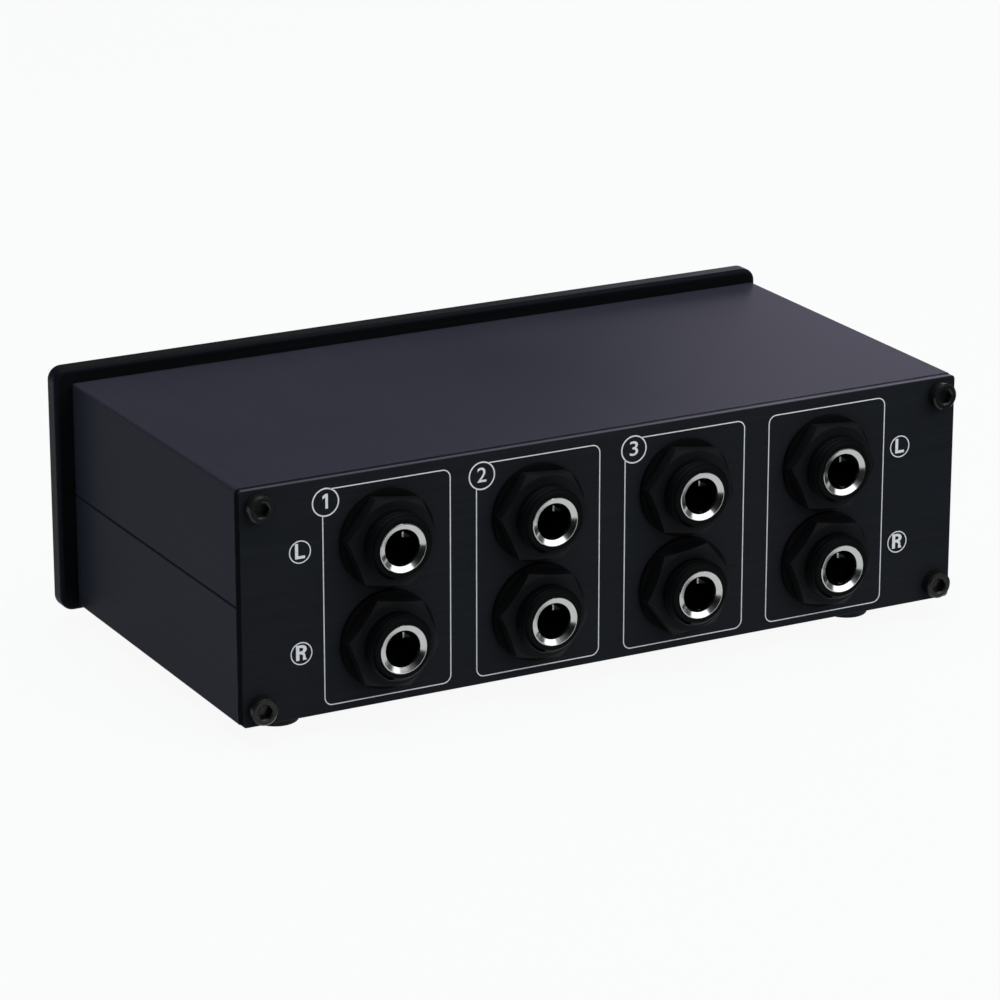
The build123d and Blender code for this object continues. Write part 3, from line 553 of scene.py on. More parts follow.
# ---- Finishes --------------------------------------------------------------------------------
@dataclass(frozen=True)
class Finish:
    """A finish that several pieces share. Each kind adds its own pattern."""

    name: str
    colour: Colour
    roughness: float
    specular: float = 0.5
    metallic: float = 0.0
    tint: Colour = (1.0, 1.0, 1.0)
    depth: float = 0.004

    def material(self) -> bpy.types.Material:
        """Build the material.

        Returns:
            The material.
        """
        paint = Paint(self.name)
        paint.set(
            Metallic=self.metallic,
            Specular_IOR_Level=self.specular,
            Specular_Tint=self.tint,
        )
        self.pattern(paint)
        return paint.material

    def pattern(self, paint: Paint) -> None:
        """Add what varies over the surface."""
        raise NotImplementedError

    def coat(self, paint: Paint, colour: Signal, dullness: Number, height: Signal) -> None:
        """Feed the shader a colour, what is added to the roughness, and a relief's height."""
        normal = paint.relief(height, self.depth)
        paint.set(Base_Color=colour, Roughness=self.roughness + dullness, Normal=normal)

    def shade(self, level: float) -> Colour:
        """The finish's colour made lighter or darker; level 1 leaves it as it is."""
        return tuple(min(1.0, channel * level) for channel in self.colour)

    def shades(self, paint: Paint, share: Signal, dark: float, light: float) -> Signal:
        """The finish's colour between a dark shade, where the share is 0, and a light one."""
        return paint.mix(share, self.shade(dark), self.shade(light))


@dataclass(frozen=True)
class EvenGrain(Finish):
    """A plain finish with a fine even grain."""

    grain: float = 0.25
    cloud: float = 18.0

    def pattern(self, paint: Paint) -> None:
        """The grain, and broad clouds in colour and gloss.

        Args:
            paint: The material being built.
        """
        fine = paint.noise(self.grain, detail=3.0)
        broad = paint.noise(self.cloud, moved=5.0)
        share = (fine * 0.6 + broad * 0.4).between(0.25, 0.75)
        self.coat(paint, self.shades(paint, share, 0.88, 1.12), broad.swing(0.12), fine)


@dataclass(frozen=True)
class AnodisedExtrusion(Finish):
    """Satin anodising on an extruded shell: die lines along the case, a fine etched grain."""

    depth: float = 0.006
    rub: float = 0.3
    die_line: Point = (0.7, 90.0, 0.7)
    etching: float = 0.16
    cloud: Point = (40.0, 60.0, 40.0)

    def pattern(self, paint: Paint) -> None:
        """Die lines, grain and lighter edges.

        Args:
            paint: The material being built.
        """
        low, high = box_of("bottom_shell")
        high.z = box_of("top_shell")[1].z
        lines = paint.noise(self.die_line, detail=4.0, roughness=0.7)
        grain = paint.noise(self.etching, moved=1.0)
        broad = paint.noise(self.cloud, moved=2.0)
        share = (lines * 0.35 + grain * 0.25 + broad * 0.4).between(0.3, 0.7)
        rubbed = rub_on_edges(paint, low, high, self.rub)
        body = self.shades(paint, share, 0.86, 1.16)
        self.coat(
            paint,
            paint.mix(rubbed * 0.5, body, self.shade(2.5)),
            lines.swing(0.10) + grain.swing(0.08) - rubbed * 0.06,
            grain * 0.6 + lines * 0.4,
        )


@dataclass(frozen=True)
class BrushedPlate(Finish):
    """Black anodising on a plate: brushed faces, a painted highlight on the top edge and painted
    shade on the other edges, in a seam if it has one, and on all but the front face if that is
    lightened.
    """

    depth: float = 0.012
    node: str = "rear_panel"
    corner: float = 0.5
    # Painted highlight on the top edge, painted shade on the side and bottom edges.
    lit_top_edge_colour: Colour = (0.02, 0.02, 0.03)
    shaded_edge_colour: Colour = (0.01, 0.01, 0.01)
    edge_reach: float = 0.02
    edge_fade: float = 0.08
    edge_dullness: float = 0.0
    top_edge: Spot = (0.4, 0.1)
    # Painted shade at the seam: how far behind the front face it reaches, its fade and its colour.
    seam: float = 0.0
    seam_fade: float = 0.06
    seam_shade_colour: Colour = (0.0012, 0.0012, 0.0014)
    # Painted shade: above 1, only the front face is lightened, and the back face and edges keep the
    # darker colour.
    unshaded_face_level: float = 1.0
    face_depth: Spot = (0.9, 0.6)
    streak: float = 0.3
    rub: float = 0.22
    fine_line: Point = (16.0, 4.0, 0.09)
    wide_line: Point = (45.0, 9.0, 0.7)
    scratch: Point = (60.0, 9.0, 0.3)
    scratch_stops: tuple[Spot, ...] = ((0.0, 0.0), (0.69, 0.0), (0.76, 1.0))

    def pattern(self, paint: Paint) -> None:
        """Brush lines of two widths, a few long scratches, painted light and shade on the edges and
        at the seam, and rubbed rims.

        Args:
            paint: The material being built.
        """
        low, high = box_of(self.node)
        from_front = paint.axis("Y") - low.y
        fine = paint.noise(self.fine_line, detail=3.0, roughness=0.6)
        wide = paint.noise(self.wide_line, detail=3.0, roughness=0.6, moved=4.0)
        share = (fine * 0.5 + wide * 0.5).between(0.3, 0.7)
        body = self.brushed(paint, share, 1.0)
        # Painted shade: the plate's colour stays dark on its back face and edges, and only the
        # front face is lightened to this level.
        if self.unshaded_face_level != 1.0:
            on_face = from_front.between(*self.face_depth)
            body = paint.mix(on_face, body, self.brushed(paint, share, self.unshaded_face_level))
        long = {0: paint.noise(self.scratch, detail=1.0, moved=9.0)}
        scratches = paint.node("ShaderNodeValToRGB", {"stops": self.scratch_stops}, long)
        body = paint.mix(paint.out(scratches) * 0.4, body, self.shade(1.7))
        inside = inside_outline(paint, low, high, self.corner)
        on_edge = inside.between(self.edge_reach + self.edge_fade, self.edge_reach)
        # Painted light: the top edge gets a lighter colour as a painted highlight, the side and
        # bottom edges a darker one as painted shade.
        on_lit_top_edge = paint.axis("Z").between(*(high.z - below for below in self.top_edge))
        body = paint.mix(on_edge, body, paint.mix(on_lit_top_edge, self.shaded_edge_colour, self.lit_top_edge_colour))
        to_rim = inside.most(paint.axis("Y").inside(low.y, high.y))
        rubbed = to_rim.between(self.rub, 0.0) * paint.patches()
        body = paint.mix(rubbed * 0.4, body, self.shade(2.0))
        # Painted shade: a near-black band just behind the front rim, where the gap between panel
        # and shell lies in shade.
        if self.seam:
            in_seam_shade = from_front.between(self.seam + self.seam_fade, self.seam - self.seam_fade)
            body = paint.mix(in_seam_shade, body, self.seam_shade_colour)
        blunt = on_edge * (1 - on_lit_top_edge) * self.edge_dullness
        dullness = fine.swing(0.22) + wide.swing(0.12) + blunt
        self.coat(paint, body, dullness, (fine * 0.7 + wide * 0.3) * (1 - on_edge))

    def brushed(self, paint: Paint, share: Signal, level: float) -> Signal:
        """The colour of the brush lines; a level above 1 makes it lighter."""
        dark, light = (1 - self.streak) * level, (1 + self.streak) * level
        return self.shades(paint, share, dark, light)


@dataclass(frozen=True)
class TurnedMetal(Finish):
    """Metal turned about the selector's axis, with fine rings on its faces."""

    depth: float = 0.006
    spacing: float = 0.22
    wear: float = 0.8

    def pattern(self, paint: Paint) -> None:
        """Turning rings about the selector's axis.

        Args:
            paint: The material being built.
        """
        low, high = box_of("selector_shaft")
        middle = (low + high) / 2
        radius = distance(paint.axis("X") - middle.x, paint.axis("Z") - middle.z)
        mixed = radius.wave(self.spacing) * 0.5 + paint.noise(self.wear, detail=4.0) * 0.5
        self.coat(paint, self.shades(paint, mixed, 0.88, 1.14), mixed.swing(0.14), mixed)


@dataclass(frozen=True)
class SocketFinish(Finish):
    """A finish whose pattern runs round each of the eight sockets' axes."""

    row_z: float = 15.494
    row_spacing: float = 18.619
    column_pitch: float = 30.0
    column_x: float = 13.5

    def around(self, paint: Paint) -> tuple[Signal, Signal]:
        """The distance from the nearest socket's axis, and the angle round it.

        Args:
            paint: The material being built.

        Returns:
            The radius in millimetres and the angle in turns.
        """
        across = paint.axis("X").about(self.column_x, self.column_pitch)
        up = paint.axis("Z").about(self.row_z, self.row_spacing)
        return distance(across, up), up.apply("ARCTAN2", across) * (1 / math.tau)


@dataclass(frozen=True)
class PlatedRing(SocketFinish):
    """Bright plating over a turned ring."""

    depth: float = 0.0006
    spacing: float = 0.11
    stain: float = 1.1

    def pattern(self, paint: Paint) -> None:
        """Faint turning rings and a slight stain.

        Args:
            paint: The material being built.
        """
        rings = self.around(paint)[0].wave(self.spacing)
        stain = paint.noise(self.stain, detail=4.0, roughness=0.6)
        body = self.shades(paint, stain.between(0.3, 0.75), 0.93, 1.0)
        self.coat(paint, body, stain * 0.05 + rings * 0.02, rings * 0.5 + stain * 0.5)


@dataclass(frozen=True)
class MouldedNylon(SocketFinish):
    """Black moulded nylon with a fine spark-eroded grain."""

    depth: float = 0.008
    texture: float = 0.2
    cloud: float = 5.0

    def pattern(self, paint: Paint) -> None:
        """The mould's grain, and a faint flow mark round each socket.

        Args:
            paint: The material being built.
        """
        radius, angle = self.around(paint)
        grain = paint.noise(self.texture, detail=3.0)
        broad = paint.noise(self.cloud, moved=7.0)
        flow = (radius * 1.4 + angle * 2.0).wave(math.tau)
        share = (grain * 0.5 + broad * 0.3 + flow * 0.2).between(0.3, 0.7)
        body = self.shades(paint, share, 0.85, 1.2)
        self.coat(paint, body, grain.swing(0.12) + flow.swing(0.04), grain)


@dataclass(frozen=True)
class CrownWearAndGlintSpring(Finish):
    """Sprung metal painted nearly black as painted shade in the bore, bright only in a band across
    the sleeve spring's crown, which is both a plug's wear and a painted highlight.
    """

    crown_depth: float = 7.0
    track: float = 0.12
    track_spread: float = 1.8
    stain: float = 0.6

    def pattern(self, paint: Paint) -> None:
        """The bright band across each crown, wear and a painted highlight, and painted shade
        elsewhere, mottled by a stain.

        Args:
            paint: The material being built.
        """
        mouth = box_of("jack_ferrule_1_left")[1].y
        from_crown = abs(paint.axis("Y") - (mouth - self.crown_depth))
        stain = paint.noise(self.stain, detail=3.0)
        on_crown = from_crown.between(self.track * self.track_spread, self.track)
        # Painted highlight and painted shade: the metal's full colour only on the crown's band, and
        # 3 to 9 per cent of it elsewhere.
        wear_and_glint_track = on_crown * (1.1 - stain * 0.2)
        body = paint.mix(wear_and_glint_track, self.shades(paint, stain, 0.03, 0.09), self.colour)
        self.coat(paint, body, stain.swing(0.2), stain)


@dataclass(frozen=True)
class Rubber(Finish):
    """Matt rubber with a dusty bloom low down."""

    depth: float = 0.03
    texture: float = 0.35
    dust: float = 1.2
    dusty_below: Spot = (1.6, 0.2)

    def pattern(self, paint: Paint) -> None:
        """A soft grain, and dust towards the sole.

        Args:
            paint: The material being built.
        """
        grain = paint.noise(self.texture, detail=4.0, roughness=0.6)
        low_down = paint.axis("Z").between(*self.dusty_below)
        dust = low_down * paint.noise(self.dust, detail=3.0, moved=2.0)
        body = self.shades(paint, grain, 0.8, 1.25)
        self.coat(paint, paint.mix(dust * 0.5, body, self.shade(3.5)), grain.swing(0.1), grain)


@dataclass(frozen=True)
class Laminate(Finish):
    """A printed board: solder mask over the glass weave, with paler tracks."""

    depth: float = 0.035
    weave: float = 0.6
    track_pitch: float = 5.1
    track_half: float = 0.6
    track_fade: float = 0.15

    def pattern(self, paint: Paint) -> None:
        """The weave, and bands of copper under the mask.

        Args:
            paint: The material being built.
        """
        turns = math.tau / self.weave
        warp, weft = ((paint.axis(axis) * turns).apply("SINE") for axis in "XZ")
        weave = warp * weft * 0.5 + 0.5
        from_track = abs(paint.axis("Z").about(0.0, self.track_pitch))
        tracks = from_track.between(self.track_half + self.track_fade, self.track_half)
        body = self.shades(paint, weave, 0.9, 1.1)
        height = weave * 0.2 + tracks * 0.8
        self.coat(paint, paint.mix(tracks, body, self.shade(1.9)), 0.0, height)


@dataclass(frozen=True)
class PrintedInk(Finish):
    """Screen-printed ink, a little thinner in places."""

    mesh: float = 0.12
    thinning: float = 0.5

    def pattern(self, paint: Paint) -> None:
        """The mesh's faint marks and thin places.

        Args:
            paint: The material being built.
        """
        thin = paint.noise(self.thinning, detail=4.0, roughness=0.7)
        share = (thin * 0.8 + paint.axis("X").wave(self.mesh) * 0.2).between(0.3, 0.65)
        self.coat(paint, self.shades(paint, share, 0.82, 1.05), thin.swing(0.1), thin)


def dress(finish: Finish | bpy.types.Material, *pieces: str | Piece) -> None:
    """Give pieces a finish.

    Args:
        finish: The finish, or its material if that has been built.
        pieces: New pieces, or CAD nodes by name.
    """
    material = finish.material() if isinstance(finish, Finish) else finish
    for piece in pieces:
        thing = bpy.data.objects[piece] if isinstance(piece, str) else piece
        if thing.material_slots:
            thing.material_slots[0].material = material
        else:
            thing.data.materials.append(material)


def report(piece: Piece, body: Body) -> None:
    """Put a finished new piece on its body and log it."""
    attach(piece, body.value)
    LOG.info("%s rides on %s, %d faces", piece.name, body.value, len(piece.data.polygons))


# ---- Signs that are printed -------------------------------------------------------------------
@dataclass
class Printer:
    """Makes flat signs, drawn in X and Y as their reader sees them, in millimetres."""

    ink: float = 0.05
    sunk: float = 0.01
    line: float = 0.19
    round_steps: int = 64
    corner_steps: int = 8
    curve_steps: int = 8
    bar_steps: int = 5
    bar_rounding: float = 0.49
    cutter_depth: float = 4.0
    weld: float = 0.01
    stem: float = 0.17
    stem_shift: float = 0.08
    flag_height: float = 0.24
    flag_reach: float = 0.2
    flag_drop: float = 0.1
    flag_taper: float = 0.85
    leg_top: float = 0.1
    leg_span: float = 0.85
    leg_drawn_in: float = 0.24
    leg_steps: int = 6
    widths: dict[str, float] = field(
        default_factory=lambda: {"2": 1.06, "3": 1.2, "L": 1.1, "R": 1.22}
    )

    def keep_rim(self, width: float) -> None:
        """In edit mode, leave only a line along a flat piece's outline."""
        inset_all(width)
        bpy.ops.mesh.delete(type="FACE")

    def box(self, spot: Spot, width: float, height: float, corner: float) -> Piece:
        """A rounded rectangle drawn as a line.

        Args:
            spot: Its middle.
            width: Outside width.
            height: Outside height.
            corner: The outside corners' radius.

        Returns:
            The sign.
        """
        piece = new_plane("line_box")
        with editing(piece):
            resize(width * MM, height * MM)
            bpy.ops.mesh.bevel(offset=corner * MM, segments=self.corner_steps, affect="VERTICES")
            self.keep_rim(self.line)
            bpy.ops.mesh.select_all(action="SELECT")
            shift(*flat(spot))
        thicken(piece, self.ink)
        return piece

    def ring(self, spot: Spot, radius: float, line: float) -> Piece:
        """A circle drawn as a line.

        Args:
            spot: Its middle.
            radius: Outside radius.
            line: The line's width.

        Returns:
            The sign.
        """
        select_only()
        bpy.ops.mesh.primitive_circle_add(
            vertices=self.round_steps, radius=radius * MM, fill_type="NGON", location=flat(spot)
        )
        piece = newest("line_ring")
        bpy.ops.object.transform_apply(location=True)
        with editing(piece):
            self.keep_rim(line)
        thicken(piece, self.ink)
        return piece

    def disc(self, spot: Spot, radius: float) -> Piece:
        """A thick disc for cutting a gap into a line.

        Args:
            spot: Its middle.
            radius: Its radius.

        Returns:
            The cutter.
        """
        select_only()
        bpy.ops.mesh.primitive_cylinder_add(
            vertices=self.round_steps, radius=radius * MM, depth=self.cutter_depth * MM,
            location=flat(spot),
        )
        piece = newest("cutter")
        bpy.ops.object.transform_apply(location=True)
        return piece

    def bar(self, spot: Spot, width: float, height: float, turn: float) -> Piece:
        """A short bar with rounded ends.

        Args:
            spot: Its middle.
            width: Across, before it is turned.
            height: Up, before it is turned.
            turn: Degrees clockwise, as its reader sees it.

        Returns:
            The sign.
        """
        piece = new_plane("bar")
        with editing(piece):
            resize(width * MM, height * MM)
            corner = width * self.bar_rounding * MM
            bpy.ops.mesh.bevel(offset=corner, segments=self.bar_steps, affect="VERTICES")
        piece.rotation_euler = (0.0, 0.0, -math.radians(turn))
        piece.location = flat(spot)
        bpy.ops.object.transform_apply(location=True, rotation=True)
        thicken(piece, self.ink)
        return piece

    def figure_one(self, spot: Spot, height: float, stroke: float) -> Piece:
        """The number 1 as a bold stem with a slanted flag.

        Args:
            spot: Its middle.
            height: Of the stem.
            stroke: The stem's width, as a share of its height.

        Returns:
            The sign.
        """
        root = 0.5 - self.flag_height
        out = {"value": (-self.flag_reach, -self.flag_drop, 0.0)}
        piece = new_plane("sign")
        with editing(piece):
            resize(stroke, 1.0)
            bpy.ops.mesh.bisect(plane_co=(0, root, 0), plane_no=(0, 1, 0))
            pick_vertices(piece, lambda place: place.x < 0 and place.y > root - 0.01)
            bpy.ops.mesh.extrude_region_move(TRANSFORM_OT_translate=out)
            resize(1.0, self.flag_taper, about=(0, root - self.flag_drop, 0))
            bpy.ops.mesh.select_all(action="SELECT")
            resize(height * MM, height * MM, height * MM)
            shift(*flat((spot[0] + self.stem_shift * height, spot[1])))
        thicken(piece, self.ink)
        return piece

    def steepen_leg(self, piece: Piece, half: Vector) -> None:
        """In edit mode, draw the foot of an R's leg in under its bowl, and centre it again.

        Args:
            piece: The letter, centred on the origin.
            half: Half its width and height.
        """
        drawn_in = self.leg_drawn_in * 2 * half.x
        for step in range(self.leg_steps):
            top = -(self.leg_top + self.leg_span * step / self.leg_steps) * half.y
            pick_vertices(piece, lambda place: place.x > 0 and place.y < top)
            shift(-drawn_in / self.leg_steps)
        bpy.ops.mesh.select_all(action="SELECT")
        shift(drawn_in / 2)

    def sign(self, text: str, spot: Spot, height: float, weight: float) -> Piece:
        """A bold number or letter.

        Args:
            text: One character.
            spot: Its middle.
            height: Of a capital.
            weight: How much bolder than the plain letter, as a share of its size.

        Returns:
            The sign.
        """
        if text == "1":
            return self.figure_one(spot, height, self.stem + 2 * weight)
        select_only()
        bpy.ops.object.text_add()
        letter = bpy.context.object.data
        letter.body = text
        letter.offset = weight
        letter.extrude = self.ink
        letter.resolution_u = self.curve_steps
        bpy.ops.object.convert(target="MESH")
        piece = newest("sign")
        low, high = Vector(piece.bound_box[0]), Vector(piece.bound_box[6])
        middle = (low + high) / 2
        scale = height * MM / (high.y - low.y)
        with editing(piece):
            bpy.ops.mesh.remove_doubles(threshold=self.weld * MM)
            shift(-middle.x, -middle.y, -low.z)
            if text == "R":
                self.steepen_leg(piece, (high - low) / 2)
            wide = scale * self.widths.get(text, 1.0)
            resize(wide, scale, self.ink * MM / (high.z - low.z))
            shift(*flat(spot))
        return piece


@dataclass
class RearPrint:
    """The printing on the rear panel: a box round each pair of sockets, numbers, and L and R."""

    printer: Printer
    finish: PrintedInk
    columns: tuple[float, ...] = (43.5, 13.5, -16.5, -46.5)
    column_shift: float = -0.22
    box_width: float = 25.0
    box_height: float = 39.9
    box_middle_z: float = 24.85
    box_corner: float = 1.6
    numbers: tuple[tuple[str, float, float], ...] = (
        ("1", 55.1, 42.4),
        ("2", 24.6, 42.5),
        ("3", -6.1, 42.7),
    )
    number_radius: float = 2.62
    number_line: float = 0.25
    number_height: float = 2.7
    number_weight: float = 0.005
    letters: tuple[tuple[str, float, float], ...] = (
        ("L", 60.1, 34.15),
        ("R", 60.1, 15.5),
        ("L", -62.7, 34.7),
        ("R", -62.7, 16.1),
    )
    letter_radius: float = 2.1
    letter_line: float = 0.2
    letter_height: float = 2.8
    letter_weight: float = 0.02
    raised: float = 0.17

    def build(self) -> None:
        """Print the four boxes with their numbers, then the letters."""
        material = self.finish.material()
        face_y = box_of("rear_panel")[1].y
        boxes = [self.numbered_box(*numbered) for numbered in enumerate(self.columns)]
        for piece in (*boxes, self.lettering()):
            stand_up(piece, Facing.REAR, face_y, self.printer.sunk)
            dress(material, piece)
            report(piece, Body.CASE)

    def numbered_box(self, number: int, column: float) -> Piece:
        """A box round one pair of sockets; all but the last have a number in a circle.

        Args:
            number: The box's place from the first.
            column: Its middle's X.

        Returns:
            The sign, flat.
        """
        middle = (-(column + self.column_shift), self.box_middle_z)
        box = self.printer.box(middle, self.box_width, self.box_height, self.box_corner)
        if number >= len(self.numbers):
            return joined("print_common_box", [box])
        text, x, z = self.numbers[number]
        cut_with(box, self.printer.disc((-x, z), self.number_radius - self.number_line / 2))
        ring = self.printer.ring((-x, z), self.number_radius, self.number_line)
        spot = (-x, z + self.raised)
        sign = self.printer.sign(text, spot, self.number_height, self.number_weight)
        return joined(f"print_box_{text}", [box, ring, sign])

    def lettering(self) -> Piece:
        """The circled L and R at both ends of the panel.

        Returns:
            The sign, flat.
        """
        parts = []
        for text, x, z in self.letters:
            parts.append(self.printer.ring((-x, z), self.letter_radius, self.letter_line))
            spot = (-x, z + self.raised)
            parts.append(self.printer.sign(text, spot, self.letter_height, self.letter_weight))
        return joined("print_channel_letters", parts)


@dataclass
class DialPrint:
    """The numbers and ticks round the knob on the front panel."""

    printer: Printer
    finish: PrintedInk
    step: float = 30.0
    texts: tuple[str, ...] = ("1", "2", "3")
    number_offset: float = 19.9
    tick_offset: float = 17.5
    tick_length: float = 1.3
    tick_width: float = 0.4
    height: float = 2.4
    weight: float = 0.02

    def build(self) -> None:
        """Print a tick and a number for each position."""
        low, high = box_of("knob")
        middle_x, middle_z = (low.x + high.x) / 2, (low.z + high.z) / 2
        parts = []
        for place, text in enumerate(self.texts):
            turn = self.step * (place - (len(self.texts) - 1) / 2)
            across, up = math.sin(math.radians(turn)), math.cos(math.radians(turn))
            number, tick = (
                (middle_x + offset * across, middle_z + offset * up)
                for offset in (self.number_offset, self.tick_offset)
            )
            parts.append(self.printer.sign(text, number, self.height, self.weight))
            parts.append(self.printer.bar(tick, self.tick_width, self.tick_length, turn))
        piece = joined("print_dial", parts)
        stand_up(piece, Facing.FRONT, box_of("front_panel")[0].y, self.printer.sunk)
        dress(self.finish, piece)
        report(piece, Body.CASE)


# ---- Sub-assemblies ---------------------------------------------------------------------------
@dataclass
class Case:
    """The two shells, both panels, their screws and the feet."""

    shell: AnodisedExtrusion
    rear: BrushedPlate
    front: BrushedPlate
    screws: EvenGrain
    feet: Rubber

    def build(self) -> None:
        """Dress the case's nodes."""
        dress(self.shell, "top_shell", "bottom_shell")
        dress(self.rear, "rear_panel")
        dress(self.front, "front_panel")
        dress(self.screws, "front_screws", "rear_screws", "knob_grub_screw")
        ends = [(end, side) for end in ("front", "rear") for side in ("left", "right")]
        dress(self.feet, *[f"foot_{end}_{side}" for end, side in ends])
        LOG.info("case dressed")


@dataclass
class Sockets:
    """The eight jack sockets: bodies, nuts, washers, rings and contact springs."""

    body: MouldedNylon
    nut: MouldedNylon
    washer: MouldedNylon
    ring: PlatedRing
    spring: CrownWearAndGlintSpring
    names: tuple[str, ...] = ("1", "2", "3", "common")
    sides: tuple[str, ...] = ("left", "right")
    bushing_radius: float = 6.0
    pitch: float = 1.0
    root_overlap: float = 0.1
    root_share: float = 0.86
    crest: float = 0.14
    crest_share: float = 0.2
    turns: float = 2.2
    steps: int = 72
    end_tuck: float = 0.998

    def build(self) -> None:
        """Dress the sockets' nodes and cut the threads of their bushings."""
        body = self.body.material()
        places = [f"{name}_{side}" for name in self.names for side in self.sides]
        for part, finish in (("housing", body), ("nut", self.nut), ("ferrule", self.ring)):
            dress(finish, *[f"jack_{part}_{place}" for place in places])
        dress(self.washer, "jack_washers")
        dress(self.spring, "sleeve_contacts", "tip_contacts")
        LOG.info("sockets dressed")
        thread = self.make_thread()
        for place in places:
            low, high = box_of(f"jack_ferrule_{place}")
            middle = (low + high) / 2
            nut_y = box_of(f"jack_nut_{place}")[1].y
            piece = copy_of(thread, f"bushing_thread_{place}", (middle.x, nut_y, middle.z))
            dress(body, piece)
            report(piece, Body.CASE)
        bpy.data.objects.remove(thread)

    def make_thread(self) -> Piece:
        """One helical ridge about the Y axis, starting at Y = 0 and running out at both ends.

        Returns:
            The ridge, to be copied to each bushing.
        """
        depth = self.root_overlap + self.crest
        middle = self.bushing_radius + (self.crest - self.root_overlap) / 2
        up = self.pitch * 0.5 * MM
        piece = new_plane("thread")
        with editing(piece):
            tip_up()
            resize(depth * MM, 1.0, self.pitch * self.root_share * MM)
            shift(middle * MM, z=up)
            pick_vertices(piece, lambda place: place.x > self.bushing_radius * MM)
            resize(1.0, 1.0, self.crest_share, about=(0, 0, up))
        apply_modifier(
            piece, "SCREW", angle=math.tau * self.turns, screw_offset=self.pitch * self.turns * MM,
            steps=self.steps, render_steps=self.steps,
            use_smooth_shade=False, use_normal_calculate=True,
        )
        self.close_ends(piece)
        piece.rotation_euler = (-math.pi / 2, 0.0, 0.0)
        select_only(piece)
        bpy.ops.object.transform_apply(location=False, rotation=True, scale=False)
        return piece

    def close_ends(self, piece: Piece) -> None:
        """Close both ends of the ridge and draw them down to the bushing.

        Args:
            piece: The open ridge about the Z axis.
        """
        squeeze = self.bushing_radius / (self.bushing_radius + self.crest) * self.end_tuck
        with editing(piece):
            bpy.ops.mesh.select_all(action="DESELECT")
            bpy.ops.mesh.select_non_manifold()
            resize(squeeze, squeeze)
            bpy.ops.mesh.fill_holes(sides=0)
            bpy.ops.mesh.select_all(action="SELECT")
            bpy.ops.mesh.normals_make_consistent(inside=False)


@dataclass
class Selector:
    """The rotary selector, both boards and the links between them, all inside the case."""

    cast: EvenGrain
    steel: TurnedMetal
    moulding: EvenGrain
    contact: EvenGrain
    laminate: Laminate
    wire: EvenGrain
    steel_nodes: tuple[str, ...] = (
        "stop_ring", "panel_washer", "panel_nut", "selector_shaft", "detent_balls", "detent_springs"
    )

    def build(self) -> None:
        """Dress the selector's nodes."""
        dress(self.cast, "switch_frame")
        dress(self.steel, *self.steel_nodes)
        dress(self.moulding, "switch_base", "selector_rotor")
        dress(self.contact, "switch_terminals", "rotor_wipers")
        dress(self.laminate, "jack_board", "switch_board")
        dress(self.wire, "board_links")
        LOG.info("selector dressed")


@dataclass
class Knob:
    """The knob and the paint in its pointer groove."""

    metal: TurnedMetal
    paint: PrintedInk
    width: float = 1.34
    inner: float = 6.05
    outer_gap: float = 0.06
    floor_depth: float = 1.1
    thickness: float = 0.2
    chamfer: float = 0.12
    crown: float = 0.05

    def build(self) -> None:
        """Dress the knob and fill its pointer groove."""
        dress(self.metal, "knob")
        low, high = box_of("knob")
        length = (high.z - low.z) / 2 - self.outer_gap - self.inner
        middle_z = (low.z + high.z) / 2 + self.inner + length / 2
        piece = new_plane("knob_pointer_paint")
        with editing(piece):
            resize(self.width * MM, length * MM)
            shift(0.0, middle_z * MM)
            inset_all(self.chamfer, self.crown)
        thicken(piece, self.thickness)
        stand_up(piece, Facing.FRONT, low.y + self.floor_depth, self.thickness / 4)
        dress(self.paint, piece)
        report(piece, Body.SELECTOR)


# ---- Studio -----------------------------------------------------------------------------------
@dataclass(frozen=True)
class Lamp:
    """One soft lamp."""

    name: str
    place: Point
    width: float
    height: float
    power: float
    tint: Colour = (1.0, 1.0, 1.0)


@dataclass(frozen=True)
class Card:
    """A small black card, which only shows as a dark glint in the plated rings."""

    name: str
    middle: Point
    width: float
    height: float
    lying: bool = False


